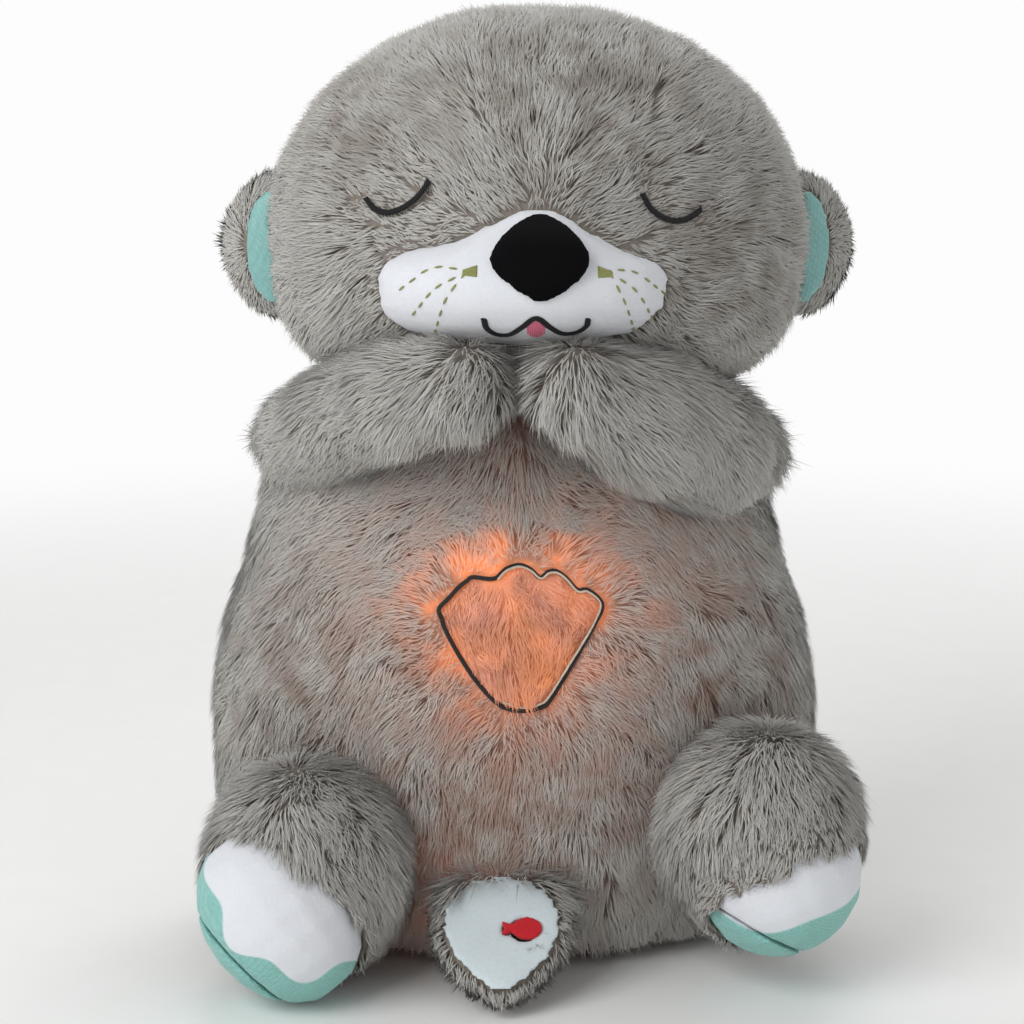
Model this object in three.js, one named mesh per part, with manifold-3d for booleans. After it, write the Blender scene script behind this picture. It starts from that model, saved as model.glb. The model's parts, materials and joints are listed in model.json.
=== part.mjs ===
// A sleeping plush otter that breathes: stuffed body and limbs round a motor-driven sound and light box.
// Millimetres. X runs to the viewer's right, Y to the back and Z up. It sits on its base at Z = 0.
import * as THREE from "three";
import { mergeVertices } from "three/addons/utils/BufferGeometryUtils.js";
import Module from "manifold-3d";

const wasm = await Module();
wasm.setup();

// Gaps
const seam = 0.3; // between pieces that are sewn or seated against each other
const runningGap = 0.3; // round shafts, pins and sliding pieces
const overrun = 6; // how far a cutter passes the surface that it opens
const mergeDistance = 0.001;

// Torso
const torsoHeight = 200;
const torsoHalfWidth = 99;
const torsoFront = 61;
const torsoBack = 48;

// Head and face
const headAcross = 7.5; // the head leans to the viewer's right of the body
const headLift = 32; // from the torso's top up to the head's middle
const headMiddleHeight = torsoHeight + headLift;
const headHalfWidth = 84.5;
const headFront = 68;
const headBack = 62;
const headMiddleBack = -8;
const headRise = 68;
const headDrop = 56;
const muzzleHalfWidth = 45;
const muzzleRise = 25;
const muzzleDrop = 22;
const muzzleProud = 16; // how far the muzzle stands out of the head
const muzzleFallShare = 0.4; // how far its upper edge falls away beside the nose
const noseWidth = 30;
const noseHeight = 26;
const noseDepth = 10;
const earHeight = 48;
const earWidth = 42;
const earThickness = 13;
const earLiningThickness = 5;

// Arms and legs
const armRadius = 18;
const armSwing = 30; // degrees
const legHalfWidth = 33;
const legHalfLength = 36;
const legHalfHeight = 36;
const footHalfWidth = 26;
const footHalfLength = 24;
const footHalfHeight = 29;
const soleThickness = 12;

// Tail
const tailHalfWidth = 27;
const tailLength = 56;
const tailThickness = 13;
const tailSlope = 34; // degrees
const tailPlanShare = 2.1; // 2 is an ellipse, more is squarer
const tailTaperShare = 0.42; // how much narrower the tip is than an ellipse
const tailLiningThickness = 3;
const buttonWidth = 13;
const buttonHeight = 8;
const buttonThickness = 2;
const buttonTravel = 1;
const switchWidth = 10;
const switchThickness = 2.5;

// Sound box
const boxWidth = 76;
const boxHeight = 102;
const boxFront = 33.6; // from the body's middle plane to the box's front face
const driveHeight = 108; // the axis of the cam and of the lights
const driveRise = 8; // from the box's middle up to the drive's axis
const boxMiddleHeight = driveHeight - driveRise;
const boxCorner = 9;
const boxWall = 2;
const splitLead = 2.7; // how far in front of the board the two halves meet
const bossRadius = 3.6;
const screwRadius = 1.4;
const screwHeadRadius = 2.6;
const screwHeadHeight = 2;
const screwLength = 16;
const doorScrewLength = 6;

// Breathing drive
const gearModule = 0.8;
const camTeeth = 48;
const pinionTeeth = 12;
const wheelTeeth = 24;
const gearWidth = 4;
const wheelWidth = 4;
const pinionAngle = -70; // degrees from the viewer's right, round the cam
const breathTravel = 8;
const camOuterRadius = 18;
const camInnerRadius = 12.2;
const camBase = 0.8; // ring left under the lowest point of the ramps
const camSink = 0.01; // how far the cam ring reaches into its gear
const pinRadius = 2;
const hubOuterRadius = 11.4;
const hubWall = 1.8;
const camClearance = 1.8; // between the box's front wall and the cam's ridges
const gearBack = -boxFront + boxWall + camClearance + breathTravel + camBase + gearWidth;
const gearboxWall = 2;
const gearboxScrewDrop = 9.5; // below the screws at the box's upper corners
const axleRadius = 1.25;
const wormRootRadius = 1.9;
const wormTipRadius = 3.2;
const wormLength = 17;
const motorShaftRadius = 1;
const motorLength = 25;
const motorHeight = 20;
const motorDepth = 15;
const motorBossRadius = 3;
const motorBossLength = 1.6;

// Breath plate
const plateWidth = 68;
const plateHeight = 76;
const plateThickness = 3;
const plateCorner = 20;
const plateDrop = 6; // from the drive's axis down to the plate's middle
const plateMiddleHeight = driveHeight - plateDrop;
const postRadius = 2.5;
const postReach = 30;
const postLength = 18;
const clipRadius = 4.6;
const clipThickness = 1;
const springWire = 0.9;
const springTurns = 4;
const lensRadius = 12;
const lensThickness = 2.4;
const lampRadius = 2.4;

// Belly panel
const panelSideMargin = 6; // how far the panel reaches past the plate
const panelEndMargin = 4;
const panelHalfWidth = plateWidth / 2 + panelSideMargin;
const panelHalfHeight = plateHeight / 2 + panelEndMargin;

// Batteries, board and speaker
const batteryRadius = 7.25;
const batteryLength = 49;
const batteryNubRadius = 2.6;
const batteryNubLength = 1.5;
const batteryGap = 1.1;
const batteryPitch = 2 * batteryRadius + batteryGap;
const contactThickness = 0.6;
const boardThickness = 1.6;
const boardClearance = 0.8; // between the motor and the board
const chipHeight = 1.2;
const speakerClearance = 9.2; // between the battery shelf and the speaker
const speakerDepth = 12;
const speakerRim = 2;
const magnetThickness = 5;
const basketWall = 1.2;
const coneWall = 0.8;
const speakerSlotHeight = 1.6;
const doorMargin = 5.1; // from the door's screw up to its edge
const doorWidth = 48;
const sliderTravel = 8;
const sliderWidth = 7;
const sliderHeight = 5;

// Back flap
const flapLedge = 9; // how far the flap reaches past the box
const flapHalfWidth = boxWidth / 2 + flapLedge;
const flapHeight = 110;
const stripWidth = 4;
const stripLength = 80;
const stripThickness = 1;

// Lead from the sound box to the tail
const leadRadius = 1.6;
const plugWidth = 7;
const plugDepth = 5;
const plugHeight = 8;

// From the front to the back of the box: cam gear, gearbox plate, motor, board and batteries.
const gearFront = gearBack - gearWidth;
const gearboxFront = gearBack + runningGap;
const gearboxBack = gearboxFront + gearboxWall;
const wheelFront = gearboxBack + motorDepth / 2 - wheelWidth / 2 + 2 * seam;
const wheelBack = wheelFront + wheelWidth;
const wormMiddleBack = (wheelFront + wheelBack) / 2;
const boardFront = wormMiddleBack + motorDepth / 2 + boardClearance;
const boardBack = boardFront + boardThickness;
const boxSplit = boardFront - splitLead;
const batteryMiddleBack = boardBack + seam + batteryRadius;
const batteryBack = batteryMiddleBack + batteryRadius;
const boxBack = batteryBack + 2 * seam + boxWall;

const finishes = {
  fur: { color: 0x9b9c96, roughness: 0.95, metalness: 0 },
  fleece: { color: 0xeeecec, roughness: 0.9, metalness: 0 },
  velvet: { color: 0x141416, roughness: 0.85, metalness: 0 },
  teal: { color: 0x7fbab4, roughness: 0.45, metalness: 0 },
  paleCloth: { color: 0xc9d8de, roughness: 0.8, metalness: 0 },
  red: { color: 0xc4202e, roughness: 0.8, metalness: 0 },
  glow: { color: 0xe78a5a, roughness: 0.9, metalness: 0 },
  tape: { color: 0x8c8e8b, roughness: 0.9, metalness: 0 },
  casing: { color: 0xe4e4e0, roughness: 0.55, metalness: 0 },
  gearPlastic: { color: 0xf2efe2, roughness: 0.45, metalness: 0 },
  darkPlastic: { color: 0x26282b, roughness: 0.5, metalness: 0 },
  diffuser: { color: 0xfff3dc, roughness: 0.4, metalness: 0 },
  steel: { color: 0xb9bcc0, roughness: 0.35, metalness: 1 },
  board: { color: 0x1e6b45, roughness: 0.5, metalness: 0 },
  label: { color: 0x3b5a8c, roughness: 0.4, metalness: 0.2 },
  paper: { color: 0x2c2a28, roughness: 0.8, metalness: 0 },
};

const toy = new THREE.Group();

// Solids

function solidOf(geometry) {
  const bare = geometry.clone();
  bare.deleteAttribute("normal");
  bare.deleteAttribute("uv");
  const merged = mergeVertices(bare, mergeDistance);
  const mesh = new wasm.Mesh({
    numProp: 3,
    vertProperties: new Float32Array(merged.attributes.position.array),
    triVerts: new Uint32Array(merged.index.array),
  });
  return new wasm.Manifold(mesh);
}

function geometryOf(solid) {
  const mesh = solid.getMesh();
  const geometry = new THREE.BufferGeometry();
  geometry.setAttribute("position", new THREE.BufferAttribute(mesh.vertProperties, mesh.numProp));
  geometry.setIndex(new THREE.BufferAttribute(mesh.triVerts, 1));
  geometry.computeVertexNormals();
  return geometry;
}

function joined(solids) {
  return solids.reduce((whole, next) => whole.add(next));
}

function without(solid, cutters) {
  return cutters.reduce((left, cutter) => left.subtract(cutter), solid);
}

function addPiece(name, solid, finish) {
  const mesh = new THREE.Mesh(geometryOf(solid), new THREE.MeshStandardMaterial(finishes[finish]));
  mesh.name = name;
  toy.add(mesh);
}

// Turns a solid about an axis through a point.
function turned(solid, point, axis, degrees) {
  const turn = new THREE.Matrix4().makeRotationAxis(axis, THREE.MathUtils.degToRad(degrees));
  const there = new THREE.Matrix4().makeTranslation(point.x, point.y, point.z);
  const back = new THREE.Matrix4().makeTranslation(-point.x, -point.y, -point.z);
  return solidOf(geometryOf(solid).applyMatrix4(there.multiply(turn).multiply(back)));
}

// Joins rings of points into one closed skin, with a point in the middle of each end.
function loft(rings) {
  const sides = rings[0].length;
  const middles = [rings[0], rings[rings.length - 1]].map((ring) => {
    const sum = ring.reduce((total, point) => total.add(point), new THREE.Vector3());
    return sum.divideScalar(sides);
  });
  const points = [...rings.flat(), ...middles];
  const firstMiddle = rings.length * sides;
  const lastRing = (rings.length - 1) * sides;
  const index = [];
  for (let side = 0; side < sides; side += 1) {
    const next = (side + 1) % sides;
    index.push(firstMiddle, next, side);
    index.push(firstMiddle + 1, lastRing + side, lastRing + next);
    for (let ring = 0; ring < lastRing; ring += sides) {
      index.push(ring + side, ring + next, ring + sides + next);
      index.push(ring + side, ring + sides + next, ring + sides + side);
    }
  }
  const geometry = new THREE.BufferGeometry().setFromPoints(points);
  geometry.setIndex(index);
  return geometry;
}

// Moves every point of a skin outwards.
function swollen(geometry, by) {
  const skin = mergeVertices(geometry, mergeDistance);
  skin.computeVertexNormals();
  const place = skin.attributes.position;
  const normal = skin.attributes.normal;
  for (let i = 0; i < place.count; i += 1) {
    const point = new THREE.Vector3().fromBufferAttribute(place, i);
    point.addScaledVector(new THREE.Vector3().fromBufferAttribute(normal, i), by);
    place.setXYZ(i, point.x, point.y, point.z);
  }
  skin.deleteAttribute("normal");
  return skin;
}

function block(left, right, front, back, low, high) {
  const geometry = new THREE.BoxGeometry(right - left, back - front, high - low);
  geometry.translate((left + right) / 2, (front + back) / 2, (low + high) / 2);
  return solidOf(geometry);
}

function rodAlongY(radius, front, back, x, z, sides = 12) {
  const geometry = new THREE.CylinderGeometry(radius, radius, back - front, sides);
  geometry.translate(x, (front + back) / 2, z);
  return solidOf(geometry);
}

function rodAlongX(radius, left, right, y, z, sides = 12) {
  const geometry = new THREE.CylinderGeometry(radius, radius, right - left, sides);
  geometry.rotateZ(Math.PI / 2);
  geometry.translate((left + right) / 2, y, z);
  return solidOf(geometry);
}

function rodAlongZ(radius, low, high, x, y, sides = 20) {
  const geometry = new THREE.CylinderGeometry(radius, radius, high - low, sides);
  geometry.rotateX(Math.PI / 2);
  geometry.translate(x, y, (low + high) / 2);
  return solidOf(geometry);
}

// A flat outline in X and Z, given depth from a front to a back plane.
function slabAlongY(shape, front, back, curveSegments = 3) {
  const depth = back - front;
  const geometry = new THREE.ExtrudeGeometry(shape, { depth, bevelEnabled: false, curveSegments });
  geometry.rotateX(Math.PI / 2);
  geometry.translate(0, back, 0);
  return solidOf(geometry);
}

function roundedRectangle(width, height, radius, x, z) {
  const shape = new THREE.Shape();
  const left = x - width / 2;
  const right = x + width / 2;
  const low = z - height / 2;
  const high = z + height / 2;
  shape.moveTo(left + radius, low);
  shape.lineTo(right - radius, low);
  shape.absarc(right - radius, low + radius, radius, -Math.PI / 2, 0);
  shape.lineTo(right, high - radius);
  shape.absarc(right - radius, high - radius, radius, 0, Math.PI / 2);
  shape.lineTo(left + radius, high);
  shape.absarc(left + radius, high - radius, radius, Math.PI / 2, Math.PI);
  shape.lineTo(left, low + radius);
  shape.absarc(left + radius, low + radius, radius, Math.PI, (3 * Math.PI) / 2);
  return shape;
}

function signedPower(value, power) {
  return Math.sign(value) * Math.abs(value) ** power;
}

// Stuffed forms

// A stuffed ball: its own reach each way, a fuller or a slacker lower half, and a round or a squarer plan.
function ball({ halfWidth, front, back, rise, drop, lowFullness = 2, plan = 2, sides = 24, steps = 10 }) {
  const rings = [];
  for (let step = 1; step < 2 * steps; step += 1) {
    const tilt = (step / steps - 1) * (Math.PI / 2);
    const up = Math.sin(tilt);
    const fullness = up < 0 ? lowFullness : 2;
    const height = up < 0 ? -drop * Math.abs(up) ** (2 / fullness) : rise * up;
    const reach = Math.cos(tilt) ** (2 / fullness);
    const ring = [];
    for (let side = 0; side < sides; side += 1) {
      const angle = (2 * Math.PI * side) / sides;
      const across = signedPower(Math.cos(angle), 2 / plan) * halfWidth * reach;
      const deep = signedPower(Math.sin(angle), 2 / plan) * (Math.sin(angle) < 0 ? front : back) * reach;
      ring.push(new THREE.Vector3(across, deep, height));
    }
    rings.push(ring);
  }
  return loft(rings);
}

// A stuffed limb along a curve, with a radius at each of its points and round ends.
function limb(points, radii, sides = 14, steps = 9) {
  const curve = new THREE.CatmullRomCurve3(points);
  const ringAt = (share, radius, shift) => {
    const along = curve.getTangent(share);
    const right = new THREE.Vector3(0, 0, 1).cross(along).normalize();
    const up = along.clone().cross(right);
    const middle = curve.getPoint(share).addScaledVector(along, shift);
    return Array.from({ length: sides }, (_, side) => {
      const angle = (2 * Math.PI * side) / sides;
      const point = middle.clone().addScaledVector(right, radius * Math.cos(angle));
      return point.addScaledVector(up, radius * Math.sin(angle));
    });
  };
  const radiusAt = (share) => {
    const place = share * (radii.length - 1);
    const before = Math.min(Math.floor(place), radii.length - 2);
    const ease = THREE.MathUtils.smoothstep(place - before, 0, 1);
    return THREE.MathUtils.lerp(radii[before], radii[before + 1], ease);
  };
  const capShares = [0.94, 0.75, 0.42];
  const capRings = (share, way) =>
    capShares.map((height) => {
      const radius = radiusAt(share);
      return ringAt(share, radius * Math.sqrt(1 - height * height), way * radius * height);
    });
  const rings = [...capRings(0, -1)];
  for (let step = 0; step <= steps; step += 1) {
    rings.push(ringAt(step / steps, radiusAt(step / steps), 0));
  }
  rings.push(...capRings(1, 1).reverse());
  return loft(rings);
}

// Height, width, front and back of each ring of the torso.
const torsoShares = [
  [0, 0.68, 0.62, 0.7],
  [0.02, 0.8, 0.76, 0.82],
  [0.07, 0.91, 0.9, 0.93],
  [0.16, 0.98, 0.98, 0.99],
  [0.3, 1, 1, 1],
  [0.42, 0.995, 1, 1],
  [0.52, 0.96, 0.98, 0.99],
  [0.625, 0.89, 0.93, 0.96],
  [0.775, 0.81, 0.8, 0.88],
  [0.895, 0.72, 0.64, 0.76],
  [0.96, 0.58, 0.5, 0.6],
  [1, 0.34, 0.3, 0.35],
];

function torsoSkin() {
  const sides = 28;
  const rings = torsoShares.map(([heightShare, widthShare, frontShare, backShare]) =>
    Array.from({ length: sides }, (_, side) => {
      const angle = (2 * Math.PI * side) / sides;
      const deep = Math.sin(angle) < 0 ? torsoFront * frontShare : torsoBack * backShare;
      return new THREE.Vector3(
        torsoHalfWidth * widthShare * Math.cos(angle),
        deep * Math.sin(angle),
        torsoHeight * heightShare,
      );
    }),
  );
  return loft(rings);
}

function headSkin() {
  const geometry = ball({
    halfWidth: headHalfWidth,
    front: headFront,
    back: headBack,
    rise: headRise,
    drop: headDrop,
    lowFullness: 3,
    sides: 26,
    steps: 8,
  });
  return geometry.translate(headAcross, headMiddleBack, headMiddleHeight);
}

const muzzleMiddleHeight = headMiddleHeight - headDrop * 0.19;
const muzzleAcross = headAcross - muzzleHalfWidth * 0.1;
const muzzleFront = headMiddleBack - headFront - muzzleProud;
const muzzleHalfDepth = muzzleProud * 1.9;

// The muzzle's upper edge rises to a peak behind the nose.
function muzzleSkin() {
  const geometry = ball({
    halfWidth: muzzleHalfWidth,
    front: muzzleHalfDepth,
    back: muzzleHalfDepth,
    rise: muzzleRise,
    drop: muzzleDrop,
    sides: 20,
    steps: 5,
  });
  const place = geometry.attributes.position;
  for (let i = 0; i < place.count; i += 1) {
    const aside = Math.abs(place.getX(i) - (headAcross - muzzleAcross)) / muzzleHalfWidth;
    const fall = muzzleFallShare * THREE.MathUtils.smoothstep(aside, 0.06, 0.6);
    if (place.getZ(i) > 0) place.setZ(i, place.getZ(i) * (1 - fall));
  }
  return geometry.translate(muzzleAcross, muzzleFront + muzzleHalfDepth, muzzleMiddleHeight);
}

function noseSkin() {
  const geometry = ball({
    halfWidth: noseWidth / 2,
    front: noseHeight / 2,
    back: noseHeight / 2,
    rise: noseDepth / 2,
    drop: noseDepth / 2,
    plan: 1.6,
    sides: 20,
    steps: 4,
  });
  geometry.rotateX(Math.PI / 2);
  const noseHigh = muzzleMiddleHeight + muzzleRise * 0.3;
  return geometry.translate(headAcross, muzzleFront + noseDepth * 0.15, noseHigh);
}

// The ears stand at the sides of the head, half of each disc inside it.
function earSkin(side) {
  const geometry = ball({
    halfWidth: earWidth / 2,
    front: earThickness / 2,
    back: earThickness / 2,
    rise: earHeight / 2,
    drop: earHeight / 2,
    sides: 16,
    steps: 5,
  });
  return placedAtEar(geometry, side, 0);
}

function earLiningSkin(side) {
  const geometry = ball({
    halfWidth: earWidth * 0.27,
    front: earLiningThickness / 2,
    back: earLiningThickness / 2,
    rise: earHeight * 0.41,
    drop: earHeight * 0.41,
    sides: 14,
    steps: 4,
  });
  return placedAtEar(geometry, side, -earThickness / 2);
}

function placedAtEar(geometry, side, forward) {
  const earTurn = 12; // degrees, the open face towards the viewer's outside
  const earHeightAboveFloor = headMiddleHeight - headRise * 0.1;
  geometry.translate(0, forward, 0);
  geometry.rotateZ(THREE.MathUtils.degToRad(side * earTurn));
  const across = headAcross + side * (headHalfWidth - earWidth * 0.08);
  return geometry.translate(across, headMiddleBack + headFront * 0.06, earHeightAboveFloor);
}

const pawMeetShare = 0.018;

// Places along each arm as shares of the torso's width, front and height, and its radius as a share of the
// arm's.
const armShares = {
  left: [
    [-0.67, -0.1, 0.805, 0.94],
    [-0.61, -0.5, 0.845, 1],
    [-0.37, -1.04, 0.92, 1],
    [-0.14, -1.34, 0.955, 0.84],
  ],
  right: [
    [0.71, -0.12, 0.79, 0.96],
    [0.58, -0.66, 0.835, 1.2],
    [0.39, -1.07, 0.895, 1.18],
    [0.18, -1.36, 0.955, 0.86],
  ],
};

function armSkin(side) {
  const shares = armShares[side];
  const points = shares.map(([across, deep, high]) => {
    return new THREE.Vector3(across * torsoHalfWidth, deep * torsoFront, high * torsoHeight);
  });
  return limb(points, shares.map((share) => share[3] * armRadius));
}

function armPivot(side) {
  const [across, deep, high] = armShares[side][0];
  return new THREE.Vector3(across * torsoHalfWidth, deep * torsoFront, high * torsoHeight);
}

// Each leg is a stuffed ball with a foot let into its front. The right one lies higher and points outwards.
// Turns are in degrees.
const legPlaces = {
  left: {
    across: -0.65,
    deep: -1.03,
    lift: 0,
    foot: [-0.22, -0.56, -0.225],
    footShares: [0.88, 1, 1],
    spread: -14,
    roll: -40,
    soleTilt: 46,
    solePitch: 8,
  },
  right: {
    across: 0.775,
    deep: -1.0,
    lift: 0.3,
    foot: [0.17, -0.3, -0.28],
    footShares: [1, 1, 0.84],
    spread: 24,
    roll: -28,
    soleTilt: 30,
    solePitch: 8,
  },
};

function legMiddle(side) {
  const { across, deep, lift } = legPlaces[side];
  return new THREE.Vector3(
    across * torsoHalfWidth,
    deep * torsoFront,
    legHalfHeight * (1 + lift) + seam,
  );
}

function legSkin(side) {
  const middle = legMiddle(side);
  const geometry = ball({
    halfWidth: legHalfWidth,
    front: legHalfLength,
    back: legHalfLength,
    rise: legHalfHeight,
    drop: legHalfHeight,
    sides: 18,
    steps: 6,
  });
  return geometry.translate(middle.x, middle.y, middle.z);
}

function footPlace(side) {
  const { foot } = legPlaces[side];
  const middle = legMiddle(side);
  return new THREE.Vector3(
    middle.x + foot[0] * legHalfWidth,
    middle.y + foot[1] * legHalfLength,
    middle.z + foot[2] * legHalfHeight,
  );
}

function placedAtFoot(geometry, side) {
  const { spread, roll } = legPlaces[side];
  const place = footPlace(side);
  geometry.rotateY(THREE.MathUtils.degToRad(roll));
  geometry.rotateZ(THREE.MathUtils.degToRad(spread));
  return geometry.translate(place.x, place.y, place.z);
}

function footSkin(side) {
  const [widthShare, lengthShare, heightShare] = legPlaces[side].footShares;
  const geometry = ball({
    halfWidth: footHalfWidth * widthShare,
    front: footHalfLength * lengthShare,
    back: footHalfLength * lengthShare,
    rise: footHalfHeight * heightShare,
    drop: footHalfHeight * heightShare,
    sides: 16,
    steps: 5,
  });
  return placedAtFoot(geometry, side);
}

// The half space under a foot that its sole takes up, moved up by a gap.
function soleSpace(side, gap) {
  const size = 2 * (footHalfWidth + footHalfLength + footHalfHeight);
  const { soleTilt, solePitch } = legPlaces[side];
  const geometry = new THREE.BoxGeometry(size, size, size);
  geometry.translate(0, 0, -size / 2 - footHalfHeight + soleThickness + gap);
  geometry.rotateX(THREE.MathUtils.degToRad(-solePitch));
  geometry.rotateY(THREE.MathUtils.degToRad(soleTilt));
  const place = footPlace(side);
  geometry.translate(place.x, place.y, place.z);
  return solidOf(geometry);
}

function floorSpace() {
  const size = 4 * torsoHalfWidth;
  return block(-size, size, -size, size, -size, 0);
}

// Tail

const tailMiddle = new THREE.Vector3(
  -tailHalfWidth * 0.14,
  -torsoFront * 1.24,
  (tailLength / 2) * Math.sin(THREE.MathUtils.degToRad(tailSlope)) + tailThickness * 0.24,
);

// Draws a flat form in towards its front end.
function tapered(geometry, front) {
  const place = geometry.attributes.position;
  for (let i = 0; i < place.count; i += 1) {
    const forwardShare = THREE.MathUtils.clamp(-place.getY(i) / front, 0, 1);
    place.setX(i, place.getX(i) * (1 - tailTaperShare * forwardShare ** 2));
  }
  return geometry;
}

function placedOnTail(geometry) {
  geometry.rotateX(THREE.MathUtils.degToRad(tailSlope));
  return geometry.translate(tailMiddle.x, tailMiddle.y, tailMiddle.z);
}

function tailSkin() {
  const geometry = ball({
    halfWidth: tailHalfWidth,
    front: tailLength / 2,
    back: tailLength / 2,
    rise: tailThickness / 2,
    drop: tailThickness / 2,
    plan: tailPlanShare,
    sides: 20,
    steps: 4,
  });
  return placedOnTail(tapered(geometry, tailLength / 2));
}

const tailLiningTop = tailThickness / 2 + tailLiningThickness * 0.2;

// The lining is a thin pad that stands a little out of the tail's upper side.
function tailLiningSkin() {
  const halfLength = tailLength * 0.41;
  const geometry = ball({
    halfWidth: tailHalfWidth * 0.8,
    front: halfLength,
    back: halfLength,
    rise: tailLiningThickness / 2,
    drop: tailLiningThickness / 2,
    plan: tailPlanShare,
    sides: 16,
    steps: 3,
  });
  tapered(geometry, halfLength);
  geometry.translate(0, -tailLength * 0.05, tailLiningTop - tailLiningThickness / 2);
  return placedOnTail(geometry);
}

// The fish outline of the tail's button: an oval body with a forked end.
function fishButton(grow, extraTravel) {
  const shape = new THREE.Shape();
  const halfBody = buttonWidth * 0.36;
  const halfHigh = buttonHeight / 2;
  const bodyMiddle = buttonWidth * 0.1;
  const finEnd = -buttonWidth / 2;
  const waist = bodyMiddle - halfBody * 0.95;
  const finHalf = halfHigh * 0.62;
  const waistHalf = halfHigh * 0.3;
  const finNotch = finEnd + buttonWidth * 0.06;
  shape.moveTo(waist, -waistHalf - grow);
  const points = 14;
  for (let i = 0; i <= points; i += 1) {
    const angle = -Math.PI * 0.88 + (Math.PI * 1.76 * i) / points;
    shape.lineTo(bodyMiddle + (halfBody + grow) * Math.cos(angle), (halfHigh + grow) * Math.sin(angle));
  }
  shape.lineTo(waist, waistHalf + grow);
  shape.lineTo(finEnd - grow, finHalf + grow);
  shape.lineTo(finNotch - grow, 0);
  shape.lineTo(finEnd - grow, -finHalf - grow);
  const top = tailLiningTop + buttonThickness * 0.3;
  const low = top - buttonThickness - extraTravel;
  const high = extraTravel > 0 ? top + overrun : top;
  const geometry = new THREE.ExtrudeGeometry(shape, { depth: high - low, bevelEnabled: false });
  geometry.translate(buttonWidth * 0.5, -tailLength * 0.04, low);
  return solidOf(placedOnTail(geometry));
}

function makeTail(neighbours) {
  const lining = (grow) => solidOf(swollen(tailLiningSkin(), grow));
  const switchTop = tailLiningTop + buttonThickness * 0.3 - buttonThickness - buttonTravel - seam;
  const switchForward = tailLength * 0.04;
  const switchAcross = buttonWidth * 0.6;
  const switchBody = (grow) => {
    const geometry = new THREE.BoxGeometry(
      switchWidth + 2 * grow,
      switchWidth + 2 * grow,
      switchThickness + 2 * grow,
    );
    geometry.translate(switchAcross, -switchForward, switchTop - switchThickness / 2);
    return solidOf(placedOnTail(geometry));
  };
  const buttonWell = fishButton(runningGap, buttonTravel + seam);
  const tailCuts = [...neighbours, floorSpace(), lining(seam), switchBody(seam), buttonWell];
  addPiece("tail", without(solidOf(tailSkin()), tailCuts), "fur");
  const liningCuts = [...neighbours, switchBody(seam), buttonWell];
  addPiece("tail_lining", without(lining(0), liningCuts), "paleCloth");
  addPiece("tail_switch", switchBody(0), "darkPlastic");
  addPiece("tail_button", fishButton(0, 0), "red");
}

// Belly panel and back flap

function panelSpace(grow, front, back) {
  const shape = new THREE.Shape();
  const points = 32;
  for (let i = 0; i < points; i += 1) {
    const angle = (2 * Math.PI * i) / points;
    const across = signedPower(Math.cos(angle), 0.62) * (panelHalfWidth + grow);
    const high = signedPower(Math.sin(angle), 0.62) * (panelHalfHeight + grow) + plateMiddleHeight;
    if (i === 0) shape.moveTo(across, high);
    else shape.lineTo(across, high);
  }
  return slabAlongY(shape, front, back);
}

const plateBack = -boxFront - seam;
const plateFront = plateBack - plateThickness;
const panelBack = plateFront - seam;
const flapFront = boxBack + 2 * seam;

// The flap hangs on its left edge, at the height of the body's skin there.
const flapHinge = new THREE.Vector2(
  -flapHalfWidth,
  torsoBack * Math.sqrt(1 - (flapHalfWidth / torsoHalfWidth) ** 2) + seam,
);

// The flap's free edge follows an arc about its hinge, so that it clears the body as it opens.
function flapSpace(grow, front) {
  const reach = 2 * flapHalfWidth;
  const high = flapHeight / 2 + grow;
  const arc = rodAlongZ(
    reach + grow,
    boxMiddleHeight - high,
    boxMiddleHeight + high,
    flapHinge.x,
    flapHinge.y,
    40,
  );
  const half = block(
    flapHinge.x - grow,
    flapHinge.x + 2 * reach,
    front,
    torsoBack + overrun,
    boxMiddleHeight - flapHeight,
    boxMiddleHeight + flapHeight,
  );
  return arc.intersect(half);
}

function boxOutline(grow) {
  return roundedRectangle(
    boxWidth + 2 * grow,
    boxHeight + 2 * grow,
    boxCorner + grow,
    0,
    boxMiddleHeight,
  );
}

// Lead and plug

const plugTop = boxMiddleHeight - boxHeight / 2 - seam;
const leadSocket = new THREE.Vector3(boxWidth * 0.1, -boxFront * 0.35, plugTop);

function leadCurve() {
  const start = leadSocket.clone().setZ(plugTop - plugHeight - seam);
  const rootPlace = new THREE.Vector3(buttonWidth * 0.6, -torsoFront * 0.84, torsoHeight * 0.11);
  return new THREE.CatmullRomCurve3([
    start,
    start.clone().setZ(start.z - plugHeight * 0.8),
    new THREE.Vector3(start.x, THREE.MathUtils.lerp(start.y, rootPlace.y, 0.45), torsoHeight * 0.125),
    rootPlace,
  ]);
}

function leadSolid(grow) {
  const shape = new THREE.Shape();
  shape.absarc(0, 0, leadRadius + grow, 0, 2 * Math.PI);
  const geometry = new THREE.ExtrudeGeometry(shape, {
    steps: 12,
    curveSegments: 4,
    bevelEnabled: false,
    extrudePath: leadCurve(),
  });
  return solidOf(geometry);
}

function plugSolid(grow) {
  return block(
    leadSocket.x - plugWidth / 2 - grow,
    leadSocket.x + plugWidth / 2 + grow,
    leadSocket.y - plugDepth / 2 - grow,
    leadSocket.y + plugDepth / 2 + grow,
    plugTop - plugHeight - grow,
    plugTop,
  );
}

// Body, flap and panel

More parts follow.
